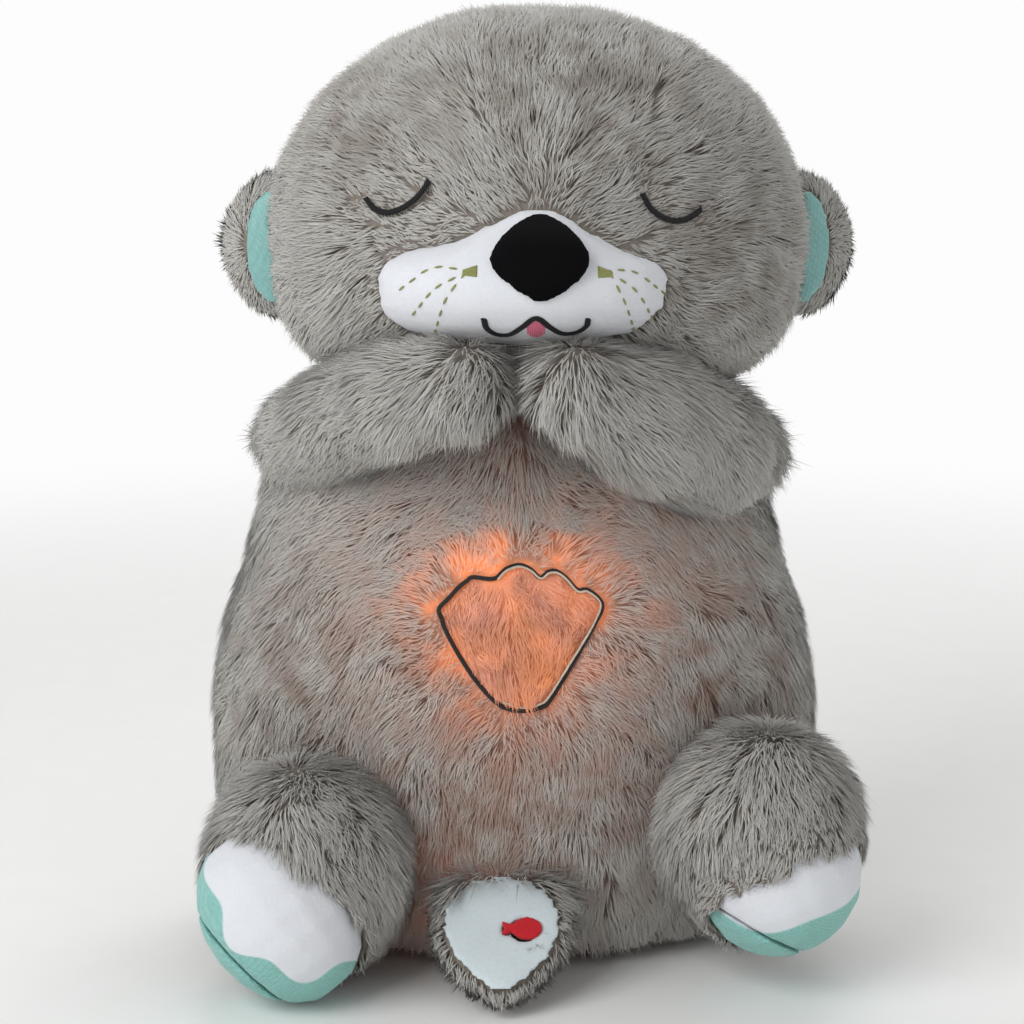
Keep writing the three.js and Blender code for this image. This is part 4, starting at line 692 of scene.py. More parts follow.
def furTree():
    tree, given, result = geometryTree(
        "furCoat", ("Density", "Lean", "Lift", "Width", "Gather", "Locks", "Seed"))

    def times(first, second):
        return calculate(tree, "MULTIPLY", first, second)

    def added(first, second):
        return vector(tree, "ADD", first, second)[0]

    def scaled(first, scale):
        return vector(tree, "SCALE", first, scale=scale)[0]

    def chance(low, high, seed):
        return node(tree, "FunctionNodeRandomValue", {2: low, 3: high, 8: seed}, data_type="FLOAT").outputs[1]

    def stored(geometry, name, value, kind, domain):
        return node(tree, "GeometryNodeStoreNamedAttribute", {
            "Geometry": geometry, "Name": name, "Value": value}, data_type=kind, domain=domain).outputs[0]

    roots = node(tree, "GeometryNodeDistributePointsOnFaces", {
        "Mesh": given["Geometry"], "Density": times(named(tree, "furAmount"), given["Density"]),
        "Seed": given["Seed"]})
    lockSeed = node(tree, "FunctionNodeIntegerMath", {0: given["Seed"], 1: 71}, operation="ADD").outputs[0]
    locks = node(tree, "GeometryNodeDistributePointsOnFaces", {
        "Mesh": given["Geometry"], "Density": given["Locks"], "Seed": lockSeed})
    here = node(tree, "GeometryNodeInputPosition").outputs[0]
    nearest = node(tree, "GeometryNodeSampleNearest", {0: locks.outputs["Points"], 1: here})
    lockPlace = node(tree, "GeometryNodeSampleIndex", {
        "Geometry": locks.outputs["Points"], "Value": here, "Index": nearest.outputs[0]},
        data_type="FLOAT_VECTOR").outputs[0]
    swirlScale, swirlDetail = wispSet["swirlNoise"]
    swirl = node(tree, "ShaderNodeTexNoise", {
        "Vector": lockPlace, "Scale": swirlScale, "Detail": swirlDetail}).outputs["Color"]
    swirled = vector(tree, "SUBTRACT", swirl, (0.5, 0.5, 0.5))[0]
    reach = times(given["Lean"], named(tree, "furLength"))
    combed = scaled(named(tree, "comb", "FLOAT_VECTOR"), reach)
    gathered = scaled(vector(tree, "SUBTRACT", lockPlace, here)[0], given["Gather"])
    bent = scaled(swirled, times(reach, wispSet["swirl"]))
    loose = node(tree, "FunctionNodeRandomValue", {0: (-1, -1, -1), 1: (1, 1, 1), 8: 5},
                 data_type="FLOAT_VECTOR").outputs[0]
    strayed = scaled(loose, times(reach, wispSet["stray"]))
    wish = added(added(combed, gathered), added(bent, strayed))
    facing = roots.outputs["Normal"]
    above = scaled(facing, vector(tree, "DOT_PRODUCT", wish, facing)[1])
    flat = vector(tree, "SUBTRACT", wish, above)[0]
    turning = node(tree, "FunctionNodeAxesToRotation", {"Primary Axis": facing, "Secondary Axis": flat},
                   primary_axis="Z", secondary_axis="X").outputs[0]
    size = node(tree, "ShaderNodeCombineXYZ", {
        0: times(vector(tree, "LENGTH", flat)[1], chance(*wispSet["length"])),
        1: times(given["Width"], chance(*wispSet["width"])),
        2: times(times(given["Lift"], named(tree, "furLength")), chance(*wispSet["lift"]))}).outputs[0]

    spindle = node(tree, "GeometryNodeMeshUVSphere", {"Segments": 3, "Rings": 2, "Radius": 0.5}).outputs["Mesh"]
    parts = node(tree, "ShaderNodeSeparateXYZ", {0: here}).outputs
    marked = stored(spindle, "tip", calculate(tree, "ADD", parts["Z"], 0.5), "FLOAT", "POINT")
    along = named(tree, "tip")
    remaining = calculate(tree, "POWER", calculate(tree, "SUBTRACT", 1.0, along), wispSet["riseBend"])
    bentPlace = node(tree, "ShaderNodeCombineXYZ", {
        0: calculate(tree, "ADD", times(parts["X"], wispSet["thick"]),
                     calculate(tree, "POWER", along, wispSet["leanBend"])),
        1: times(parts["Y"], wispSet["broad"]), 2: calculate(tree, "SUBTRACT", 1.0, remaining)}).outputs[0]
    wisp = node(tree, "GeometryNodeSetPosition", {"Geometry": marked, "Position": bentPlace}).outputs[0]
    wisp = node(tree, "GeometryNodeSetShadeSmooth", {0: wisp}).outputs[0]

    rooted = stored(roots.outputs["Points"], "rootFacing", facing, "FLOAT_VECTOR", "POINT")
    wisps = node(tree, "GeometryNodeInstanceOnPoints", {
        "Points": rooted, "Instance": wisp, "Rotation": turning, "Scale": size}).outputs[0]
    lockTone = node(tree, "ShaderNodeTexWhiteNoise", {"Vector": lockPlace}).outputs["Value"]
    shade = calculate(tree, "ADD", times(lockTone, wispSet["lockShade"]), chance(*wispSet["ownShade"]))
    shaded = stored(wisps, "shade", shade, "FLOAT", "INSTANCE")
    faced = stored(shaded, "facing", named(tree, "rootFacing", "FLOAT_VECTOR"), "FLOAT_VECTOR", "INSTANCE")
    tree.links.new(dressed(tree, faced, given["Material"]), result.inputs[0])
    return tree


coatTree = furTree()


def setInputs(modifier, values):
    for item in modifier.node_group.interface.items_tree:
        if item.in_out == "INPUT" and item.name in values:
            modifier[item.identifier] = values[item.name]


def addAttribute(mesh, name, kind, values):
    old = mesh.attributes.get(name)
    if old:
        mesh.attributes.remove(old)
    made = mesh.attributes.new(name, kind, "POINT")
    made.data.foreach_set("vector" if kind == "FLOAT_VECTOR" else "value", values.astype(np.float32).ravel())


furSet = {"corners": 18, "points": 5, "softness": 0.8, "cellPlaces": (0.1, 0.9, 0.5), "cellEdge": 0.05,
          "floorBend": 0.006, "floorGap": 0.0003, "fill": 0.2}


def spreadOverMap(mesh):
    # each wisp gets its own cell of the piece's UV map
    count = len(mesh.vertices) // furSet["points"]
    side = math.ceil(math.sqrt(count))
    first = valuesOf(mesh.loops, "vertex_index", np.int32)[: furSet["corners"]]
    rise = valuesOf(mesh.attributes["tip"].data, "value")
    local = np.zeros((furSet["corners"], 2))
    for k, vertex in enumerate(first):
        column = (k // 3 + furSet["cellPlaces"][k % 3]) / (furSet["corners"] // 3)
        local[k] = column, furSet["cellEdge"] + (1 - 2 * furSet["cellEdge"]) * rise[vertex]
    cells = np.arange(count)
    base = np.stack([cells % side, cells // side], 1)
    mapped = (base[:, None, :] + local[None]) / side
    layer = mesh.uv_layers.new(name="OFBake")
    layer.data.foreach_set("uv", mapped.astype(np.float32).ravel())


def softenShading(mesh):
    # a wisp takes light mostly as the skin below it does
    facing = vectorsOf(mesh.attributes["facing"].data, "vector")
    soft = unit(facing) * furSet["softness"] + normalsOf(mesh) * (1 - furSet["softness"])
    mesh.normals_split_custom_set_from_vertices(unit(soft).tolist())


def liftOffFloor(piece):
    # hair that would pass through the seat's plane lies flat on it instead
    places = placesOf(piece.data)
    bend, lowest = furSet["floorBend"], furSet["floorGap"]
    low = places[:, 2] < bend
    places[low, 2] = lowest + (bend - lowest) * np.exp((places[low, 2] - bend) / (bend - lowest))
    setPlaces(piece.data, places)


def softPiece(piece, fill, slot, *nodeNames):
    # the piece takes the place of the named solids, if there are any, which are hidden
    if nodeNames:
        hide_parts(*nodeNames)


def coat(name, skin, regions, settings, seed):
    # one piece of real wisps for each region of the skin, given as suffix and share
    made = []
    for index, (suffix, share) in enumerate(regions):
        carrier = newObject(name + suffix, skin.data.copy())
        amount = valuesOf(carrier.data.attributes["furAmount"].data, "value")
        addAttribute(carrier.data, "furAmount", "FLOAT", amount * share)
        modifier = carrier.modifiers.new("coat", "NODES")
        modifier.node_group = coatTree
        setInputs(modifier, {**settings, "Seed": seed + index, "Material": finishes["fur"]})
        settle(carrier)
        liftOffFloor(carrier)
        softenShading(carrier.data)
        for extra in ("furAmount", "furLength", "comb", "facing", "rootFacing"):
            if carrier.data.attributes.get(extra):
                carrier.data.attributes.remove(carrier.data.attributes[extra])
        spreadOverMap(carrier.data)
        softPiece(carrier, furSet["fill"], "fur")
        print("coat", carrier.name, len(carrier.data.vertices) // furSet["points"], "wisps")
        made.append(carrier)
    return made


def paintedShadeBy(places, spots):
    # shares of painted shade round places in millimetres, each with its reach: there the darker root colour
    # runs further up the hair
    share = np.zeros(len(places))
    for x, y, z, across, high in spots:
        near = ((places[:, 0] - x) / across) ** 2 + ((places[:, 2] - z) / high) ** 2
        share = np.maximum(share, np.exp(-near) * ((places[:, 1] - y) < 0))
    return share


def dressSkin(skin, comb, amount, length, glow=None, paintedShade=()):
    places, normals = inMillimetres(placesOf(skin.data)), normalsOf(skin.data)
    wish = comb(places, normals)
    wish = unit(wish - normals * (wish * normals).sum(1)[:, None])
    addAttribute(skin.data, "comb", "FLOAT_VECTOR", wish)
    addAttribute(skin.data, "furAmount", "FLOAT", amount(places, normals))
    addAttribute(skin.data, "furLength", "FLOAT", length(places, normals))
    addAttribute(skin.data, "paintedShade", "FLOAT", paintedShadeBy(places, paintedShade))
    if glow is not None:
        addAttribute(skin.data, "glow", "FLOAT_VECTOR", glow(places, normals))


def skinTreeOf(piece):
    mesh = piece.data
    return BVHTree.FromPolygons([v.co for v in mesh.vertices], [p.vertices for p in mesh.polygons])


def coveredBy(skin, nodeNames, reach, pieces=()):
    # 1 where a piece that stays in place covers the skin, so no fur grows there
    trees = [treeOf(*nodeNames)] + [skinTreeOf(piece) for piece in pieces]
    places, normals = placesOf(skin.data), normalsOf(skin.data)
    return np.array([any(isInside(tree, p + n * reach * part) for tree in trees for part in (0.5, 1))
                     for p, n in zip(places, normals)], float)


# the shell's outline on the belly, in the picture's columns and rows, and the painted glow round it
shellSet = {
    "outline": [(442, 620), (439, 609), (448, 599), (460, 586), (467, 581), (473, 577), (494, 579), (506, 569),
                (519, 565), (530, 569), (540, 578), (548, 572), (556, 571), (566, 578), (577, 590),
                (588, 590), (602, 604), (594, 625), (573, 663), (551, 699), (542, 707), (523, 711),
                (501, 706), (480, 686), (460, 657), (446, 631)],
    "pipedEdge": [(498, 579), (506, 571), (519, 567), (530, 571), (540, 579), (548, 574), (556, 573),
                  (565, 579), (577, 592), (587, 592), (600, 604), (592, 626), (571, 661), (549, 696),
                  (540, 704), (523, 708), (504, 703)],
    "points": 160,
    "edgePoints": 150,
    "front": -25,
    "rim": 6.0,
    "rimFall": 0.6,
    "rimInside": 0.25,
    "brightSide": (-0.5, 0.85),
    "brightness": (0.55, 0.45),
    "dimmest": 0.12,
    "wide": 54.0,
    "wideFall": 2.2,
    "lowSpot": {"place": (-18, 32), "reach": (22, 18), "share": 0.6},
    "combReach": 12.0,
    "groove": 0.0018,
    "grooveReach": 2.4,
    "bare": (0.7, 1.5),
    "shortBy": 0.62,
    "shortReach": 5,
    "insideLength": 0.62,
}
bellyTree = treeOf("torso", "belly_panel")
shellLine = [onSurface(bellyTree, *p) for p in shellSet["outline"]]
shellFlat = inMillimetres(np.array([list(p[0]) for p in shellLine]))[:, [0, 2]]


def splinePoint(a, b, c, d, t):
    # a smooth way from b to c, with a before them and d after
    return 0.5 * (2 * b + (c - a) * t + (2 * a - 5 * b + 4 * c - d) * t ** 2
                  + (3 * b - a - 3 * c + d) * t ** 3)


def closedCurve(points, count):
    # points on a smooth closed curve through the given ones
    given = np.asarray(points, float)
    n = len(given)
    found = []
    for k in range(count):
        at = k * n / count
        i = int(at)
        found.append(splinePoint(*(given[(i + j) % n] for j in (-1, 0, 1, 2)), at - i))
    return np.array(found)


def openCurve(points, count):
    given = np.asarray(points, float)
    padded = np.vstack([2 * given[0] - given[1], given, 2 * given[-1] - given[-2]])
    found = []
    for k in range(count):
        at = k * (len(given) - 1) / (count - 1)
        i = min(int(at), len(given) - 2)
        found.append(splinePoint(*padded[i: i + 4], at - i))
    return np.array(found)


def insideOutline(flat, outline):
    inside = np.zeros(len(flat), bool)
    last = outline[-1]
    for point in outline:
        crosses = (point[1] > flat[:, 1]) != (last[1] > flat[:, 1])
        with np.errstate(divide="ignore", invalid="ignore"):
            across = (last[0] - point[0]) * (flat[:, 1] - point[1]) / (last[1] - point[1]) + point[0]
        inside ^= crosses & (flat[:, 0] < across)
        last = point
    return inside


def distanceTo(flat, outline):
    return np.sqrt(((flat[:, None, :] - outline[None]) ** 2).sum(2)).min(1)


def nearestOf(flat, outline):
    return ((flat[:, None, :] - outline[None]) ** 2).sum(2).argmin(1)


shellFine = closedCurve(shellFlat, shellSet["points"])
shellMiddle = shellFine.mean(0)


def bellyGlow(places, normals):
    # painted glow of the lamp behind the belly: core, rim and wide glow, as the three values of one attribute
    front = places[:, 1] < shellSet["front"]
    flat = places[:, [0, 2]]
    away = distanceTo(flat, shellFine)
    inside = insideOutline(flat, shellFine)
    core = np.where(inside, 1.0, 0.0) * front
    side = unit(flat - shellMiddle)
    plain, extra = shellSet["brightness"]
    strong = np.clip(plain + extra * (side @ unit(np.array(shellSet["brightSide"]))), shellSet["dimmest"], 1)
    fall = np.exp(-(away / shellSet["rim"]) ** 2 * shellSet["rimFall"])
    rim = np.where(inside, shellSet["rimInside"], 1.0) * fall * strong * front
    wide = np.exp(-(away / shellSet["wide"]) * shellSet["wideFall"]) * front
    (x, z), (across, high) = shellSet["lowSpot"]["place"], shellSet["lowSpot"]["reach"]
    low = np.exp(-(((flat[:, 0] - x) / across) ** 2 + ((flat[:, 1] - z) / high) ** 2)) * front
    return np.stack([core, rim, np.clip(wide * (1 - core) + shellSet["lowSpot"]["share"] * low, 0, 1)], 1)


# torso; its coat's settings hold for all long fur
longCoat = {"Width": 0.00034, "Gather": 0.5, "Locks": 45000.0}
downward = np.array([0.0, 0.0, -1.0])
torsoSet = {
    "pile": 0.0027, "voxel": 0.0045, "swell": 0.002, "reach": 0.006,
    "coat": {**longCoat, "Density": 1750000.0, "Lean": 0.0100, "Lift": 0.0044},
    "spine": {"y": -5.0, "low": 35, "high": 165},
    "facing": (0.0, 0.35),
    "outwards": 0.75,
    "fromLine": {"outside": 0.9, "inside": 1.5},
    "backThinner": 0.3, "thinFrom": (-5, 25),
    "seat": (4, 9),
    "overTail": {"place": (-3.8, 14), "reach": (30, 12), "more": 0.8},
    # painted shade: spots on the sides and the low belly, where the pile is coloured darker
    "paintedShade": [(-62, 0, 90, 22, 36), (0, 0, 58, 60, 32), (62, 0, 88, 34, 60), (-28, 0, 108, 9, 16),
               (-13, 0, 90, 12, 8)],
}


def facingOut(places, normals):
    spine = torsoSet["spine"]
    middle = np.stack([np.zeros(len(places)), np.full(len(places), spine["y"]),
                       np.clip(places[:, 2], spine["low"], spine["high"])], 1)
    return smoothStep((unit(places - middle) * normals).sum(1), *torsoSet["facing"])


torsoSkin = stuffed("torso_skin", ["torso", "belly_panel"], voxel=torsoSet["voxel"], inset=torsoSet["pile"],
                    cap=torsoSet["swell"], setBack=facingOut, refine=1)
paint(torsoSkin, finishes["furSkin"])
skinPlaces, skinNormals = placesOf(torsoSkin.data), normalsOf(torsoSkin.data)
skinFlat = inMillimetres(skinPlaces)
grooved = np.exp(-(distanceTo(skinFlat[:, [0, 2]], shellFine) / shellSet["grooveReach"]) ** 2)
grooved *= shellSet["groove"] * (skinFlat[:, 1] < shellSet["front"])
setPlaces(torsoSkin.data, skinPlaces - skinNormals * grooved[:, None])


def torsoComb(places, normals):
    front = smoothStep(-places[:, 1], 0, 30)
    flat = places[:, [0, 2]]
    outside = ~insideOutline(flat, shellFine)
    apart = flat - shellFine[nearestOf(flat, shellFine)]
    fromLine = unit(np.stack([apart[:, 0], np.zeros(len(places)), apart[:, 1]], 1))
    close = np.exp(-(distanceTo(flat, shellFine) / shellSet["combReach"]) ** 2) * front
    away = np.stack([places[:, 0] - shellMiddle[0], np.zeros(len(places)), places[:, 2] - shellMiddle[1]], 1)
    wide = downward + unit(away) * (torsoSet["outwards"] * front)[:, None]
    pull = close * np.where(outside, torsoSet["fromLine"]["outside"], torsoSet["fromLine"]["inside"])
    return wide * (1 - close * outside)[:, None] + fromLine * pull[:, None]


torsoCovered = coveredBy(torsoSkin, ["head", "closure_flap", "muzzle"], torsoSet["reach"])


def torsoAmount(places, normals):
    seen = 1.0 - torsoSet["backThinner"] * smoothStep(places[:, 1], *torsoSet["thinFrom"])
    bare = smoothStep(distanceTo(places[:, [0, 2]], shellFine), *shellSet["bare"])
    clear = np.where(places[:, 1] < shellSet["front"], bare, 1.0)
    seat = smoothStep(places[:, 2], *torsoSet["seat"])
    return facingOut(places, normals) * (1 - torsoCovered) * seen * seat * clear


def torsoLength(places, normals):
    near = distanceTo(places[:, [0, 2]], shellFine)
    front = places[:, 1] < shellSet["front"]
    seam = np.where(front, 1 - shellSet["shortBy"] * np.exp(-(near / shellSet["shortReach"]) ** 2), 1.0)
    inside = np.where(front & insideOutline(places[:, [0, 2]], shellFine), shellSet["insideLength"], 1.0)
    (x, z), (across, high) = torsoSet["overTail"]["place"], torsoSet["overTail"]["reach"]
    overTail = np.exp(-((places[:, 0] - x) / across) ** 2 - ((places[:, 2] - z) / high) ** 2) * front
    return seam * inside * (1 + torsoSet["overTail"]["more"] * overTail)


dressSkin(torsoSkin, torsoComb, torsoAmount, torsoLength, bellyGlow, paintedShade=torsoSet["paintedShade"])


def sectors(skin, names, offset=0.0, centre=(0, 0)):
    # shares of a skin by the side that it faces, which add up to one
    places = inMillimetres(placesOf(skin.data))
    angle = np.arctan2(places[:, 0] - centre[0], -(places[:, 1] - centre[1])) + offset
    step = 2 * math.pi / len(names)
    number = np.floor((angle % (2 * math.pi)) / step).astype(int) % len(names)
    return [(label, (number == k).astype(float)) for k, label in enumerate(names)]

# the torso's coat in six pieces, by the side that each faces
torsoCoats = coat("torso_fur", torsoSkin,
                  sectors(torsoSkin, ["_front_right", "_right", "_back_right", "_back_left", "_left",
                                      "_front_left"]),
                  torsoSet["coat"], 100)

# head
headSet = {
    "pile": 0.0027, "voxel": 0.0045, "swell": 0.002, "reach": 0.005,
    "coat": {**longCoat, "Density": 1790000.0, "Lean": 0.0095, "Lift": 0.0044},
    "combFrom": (4.0, -75.0, 226.0), "combHeight": 1.1,
    "back": (-10, 35), "backShare": 0.8, "cheeks": 225, "cheekReach": 30,
    "down": 0.25, "downBack": 0.6, "downCheeks": 0.35,
    "backThinner": 0.3, "thinFrom": (0, 25),
    "eyes": {"front": -20, "shortBy": 0.8, "reach": 7.5},
    "shortest": 0.45, "muzzleReach": 9,
    # painted shade: spots on the forehead and the sides of the head, where the pile is coloured darker
    "paintedShade": [(15, 0, 268, 46, 26), (62, 0, 225, 24, 30), (-45, 0, 262, 18, 18)],
    "middle": (7.5, -8),
}
headSkin = stuffed("head_skin", ["head"], voxel=headSet["voxel"], inset=headSet["pile"], cap=headSet["swell"],
                   refine=1, beside=("muzzle",))
paint(headSkin, finishes["furSkin"])


def headComb(places, normals):
    away = places - np.array(headSet["combFrom"])
    away[:, 2] *= headSet["combHeight"]
    back = smoothStep(places[:, 1], *headSet["back"])
    low = smoothStep(headSet["cheeks"] - places[:, 2], 0, headSet["cheekReach"])
    down = headSet["down"] + headSet["downBack"] * back + headSet["downCheeks"] * low
    return unit(away) * (1 - headSet["backShare"] * back)[:, None] + downward * down[:, None]


headTree = skinTreeOf(headSkin)
muzzleSet = {"voxel": 0.0014, "swell": 0.0015, "rounds": 14, "widest": 219.0, "slices": 14, "sliceReach": 1.2,
             "power": 6, "roundness": 0.45, "most": 1.6, "lastRounds": 4}
muzzlePiece = stuffed("muzzle_cloth", ["muzzle"], voxel=muzzleSet["voxel"], cap=muzzleSet["swell"],
                      relaxRounds=muzzleSet["rounds"])


def headFront(x, z):
    hit = headTree.ray_cast(spot(x, -250, z), Vector((0, 1, 0)))[0]
    return None if hit is None else (hit.y - origin.y) * 1000


def widened(piece):
    # the lower corners of the muzzle go out to the sides, and it stays on the head there
    flat = inMillimetres(placesOf(piece.data))
    middle, low = (flat[:, 0].max() + flat[:, 0].min()) / 2, flat[:, 2].min()
    heights = np.linspace(low, muzzleSet["widest"], muzzleSet["slices"])
    halves = [np.abs(flat[np.abs(flat[:, 2] - z) < muzzleSet["sliceReach"], 0] - middle).max()
              for z in heights]
    share = np.clip((muzzleSet["widest"] - flat[:, 2]) / (muzzleSet["widest"] - low), 0, 1)
    wish = halves[-1] * (1 - share ** muzzleSet["power"]) ** muzzleSet["roundness"]
    grow = np.clip(wish / np.interp(flat[:, 2], heights, halves), 1, muzzleSet["most"])
    grow = np.where(share > 0, grow, 1)
    moved = flat.copy()
    moved[:, 0] = middle + (flat[:, 0] - middle) * grow
    for k in np.nonzero(np.abs(moved[:, 0] - flat[:, 0]) > 0.05)[0]:
        before, after = headFront(flat[k, 0], flat[k, 2]), headFront(moved[k, 0], moved[k, 2])
        if before is not None and after is not None:
            moved[k, 1] += after - before
    setPlaces(piece.data, inMetres(moved))
    smoothed(piece, muzzleSet["lastRounds"])
    shadeSmooth(piece)


widened(muzzlePiece)
headCovered = coveredBy(headSkin, ["muzzle", "torso", "ear_left", "ear_right"], headSet["reach"],
                        [muzzlePiece])
eyeLines = {
    "eye_left": [(370, 199), (377, 208), (389, 213), (403, 210), (417, 201), (427, 190), (431, 182)],
    "eye_right": [(640, 195), (647, 208), (658, 217), (671, 221), (684, 219), (697, 210)],
}
eyePlaces = {name: [onSurface(headTree, *p) for p in openCurve(line, 24)] for name, line in eyeLines.items()}
eyeFlat = inMillimetres(np.array([list(p[0]) for line in eyePlaces.values() for p in line]))[:, [0, 2]]


def headAmount(places, normals):
    return (1 - headCovered) * (1.0 - headSet["backThinner"] * smoothStep(places[:, 1], *headSet["thinFrom"]))


def headLength(places, normals):
    near = distanceTo(places[:, [0, 2]], eyeFlat)
    short = 1 - headSet["eyes"]["shortBy"] * np.exp(-(near / headSet["eyes"]["reach"]) ** 2)
    eyes = np.where(places[:, 1] < headSet["eyes"]["front"], short, 1.0)
    away = shareAwayFrom(inMetres(places), ["muzzle"], headSet["muzzleReach"])
    return eyes * (headSet["shortest"] + (1 - headSet["shortest"]) * away)


dressSkin(headSkin, headComb, headAmount, headLength, paintedShade=headSet["paintedShade"])
headCoats = coat("head_fur", headSkin,
                 sectors(headSkin, ["_right", "_back", "_left", "_front"], offset=-math.pi / 4,
                         centre=headSet["middle"]),
                 headSet["coat"], 200)

# arms
armSet = {
    "pile": 0.003, "voxel": 0.003, "swell": 0.0025, "refine": 0,
    "coat": {**longCoat, "Density": 1950000.0, "Lean": 0.0095, "Lift": 0.0048},
    "paws": {"left": (-13.9, -81.7, 191), "right": (17.8, -83, 191)},
    "comb": (0, 0, -0.45),
}


def evenLength(places, normals):
    return np.ones(len(places))


def wholeCoat(name, skin, settings, seed):
    return coat(name, skin, [("", np.ones(len(skin.data.vertices)))], settings, seed)


def furredLimb(nodeName, body, settings, comb, covering, seed, length=evenLength, reshape=None):
    skin = stuffed(nodeName + "_skin", [nodeName], voxel=settings["voxel"], inset=settings["pile"],
                   cap=settings["swell"], beside=covering, refine=settings["refine"])
    paint(skin, finishes["furSkin"])
    covered = coveredBy(skin, covering, settings["reach"]) if covering else 0.0
    if reshape:
        reshaped(skin, reshape)
    dressSkin(skin, comb, lambda p, n: np.ones(len(p)) * (1 - covered), length)
    coats = wholeCoat(nodeName + "_fur", skin, settings["coat"], seed)
    softPiece(skin, 0.8, "fur", nodeName)
    for piece in [skin] + coats:
        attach(piece, body)


for number, (sideName, pawPlace) in enumerate(armSet["paws"].items()):
    def armComb(places, normals, paw=pawPlace):
        return unit(places - np.array(paw)) + np.array(armSet["comb"])
    furredLimb("arm_" + sideName, "arm_of_" + sideName, armSet, armComb, [], 300 + number * 10)

# legs
legSet = {
    "pile": 0.003, "voxel": 0.003, "swell": 0.002, "reach": 0.003, "refine": 1,
    "coat": {**longCoat, "Density": 1950000.0, "Lean": 0.0095, "Lift": 0.0048},
    "feet": {"left": (-71.6, -83, 28.2), "right": (82.3, -71.8, 37)},
    "fromFoot": 0.35, "comb": (0, -0.15, -1.0),
    "shortest": {"left": 0.5, "right": 0.34}, "shortReach": 10.0,
}
for number, (sideName, footPlace) in enumerate(legSet["feet"].items()):
    footNodes = ["foot_" + sideName, "sole_" + sideName]

    def legComb(places, normals, foot=footPlace):
        return unit(places - np.array(foot)) * legSet["fromFoot"] + np.array(legSet["comb"])

    def legLength(places, normals, shortest=legSet["shortest"][sideName], footNodes=footNodes):
        away = shareAwayFrom(inMetres(places), footNodes, legSet["shortReach"])
        return shortest + (1 - shortest) * away
    furredLimb("leg_" + sideName, "leg_of_" + sideName, legSet, legComb, footNodes, 400 + number * 10,
               length=legLength)

# ears
earSet = {
    "pile": 0.0012, "voxel": 0.0018, "swell": 0.0, "reach": 0.002, "refine": 0,
    "coat": {**longCoat, "Density": 3900000.0, "Lean": 0.0036, "Lift": 0.0012, "Gather": 0.2,
             "Locks": 60000.0},
    "comb": (1, 0.6, 1),
}
for number, sideName in enumerate(("left", "right")):
    lowEar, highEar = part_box("ear_" + sideName)
    earMiddle = inMillimetres(np.array((lowEar + highEar) / 2))

    def earComb(places, normals, middle=earMiddle):
        return unit(places - middle) * np.array(earSet["comb"])
    furredLimb("ear_" + sideName, "root", earSet, earComb, ["ear_lining_" + sideName, "head"],
               500 + number * 10)

# tail
tailSet = {
    "pile": 0.002, "voxel": 0.002, "swell": 0.0, "reach": 0.002, "refine": 1,
    "middle": -3.8, "top": 36.0, "taper": 0.42, "taperPower": 1.3, "overTop": 1.9, "topFrom": (24, 33),
    "combFrom": (-1.5, -60.0, 32.0), "comb": (0, -0.4, -0.1), "topComb": (0, -0.35, -1.0),
    "coat": {**longCoat, "Density": 3000000.0, "Lean": 0.0048, "Lift": 0.0026, "Gather": 0.4,
             "Locks": 70000.0},
}


def overTail(places):
    return smoothStep(places[:, 2], *tailSet["topFrom"])[:, None]


def tailComb(places, normals):
    outward = unit(places - np.array(tailSet["combFrom"])) + np.array(tailSet["comb"])
    return outward * (1 - overTail(places)) + np.array(tailSet["topComb"]) * overTail(places)


def tailLength(places, normals):
    return 1 + tailSet["overTop"] * overTail(places)[:, 0]


def tapered(places):
    # the tail is narrower toward its tip
    share = np.clip((tailSet["top"] - places[:, 2]) / tailSet["top"], 0, 1) ** tailSet["taperPower"]
    moved = places.copy()
    moved[:, 0] = tailSet["middle"] + (places[:, 0] - tailSet["middle"]) * (1 - tailSet["taper"] * share)
    return moved


furredLimb("tail", "tail_paddle", tailSet, tailComb, ["tail_lining", "tail_button"], 600,
           length=tailLength, reshape=tapered)

# back flap
flapSet = {
    "pile": 0.003, "voxel": 0.002, "furred": (0.25, 0.75),
    "coat": {**longCoat, "Density": 900000.0, "Lean": 0.0105, "Lift": 0.0044, "Width": 0.00055},
}


def backOnly(places, normals):
    return smoothStep(normals[:, 1], *flapSet["furred"])


flapSkin = stuffed("flap_skin", ["closure_flap"], voxel=flapSet["voxel"], inset=flapSet["pile"],
                   setBack=backOnly)
paint(flapSkin, finishes["furSkin"])
dressSkin(flapSkin, lambda p, n: np.tile(downward, (len(p), 1)), backOnly, evenLength)
flapCoats = wholeCoat("flap_fur", flapSkin, flapSet["coat"], 700)
softPiece(flapSkin, 0.6, "fur", "closure_flap")
for piece in [flapSkin] + flapCoats:
    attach(piece, "flap")

softPiece(torsoSkin, 0.85, "fur", "torso", "belly_panel")
for piece in [torsoSkin] + torsoCoats:
    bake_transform(piece)
softPiece(headSkin, 0.85, "fur", "head")
for piece in [headSkin] + headCoats:
    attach(piece, "root")

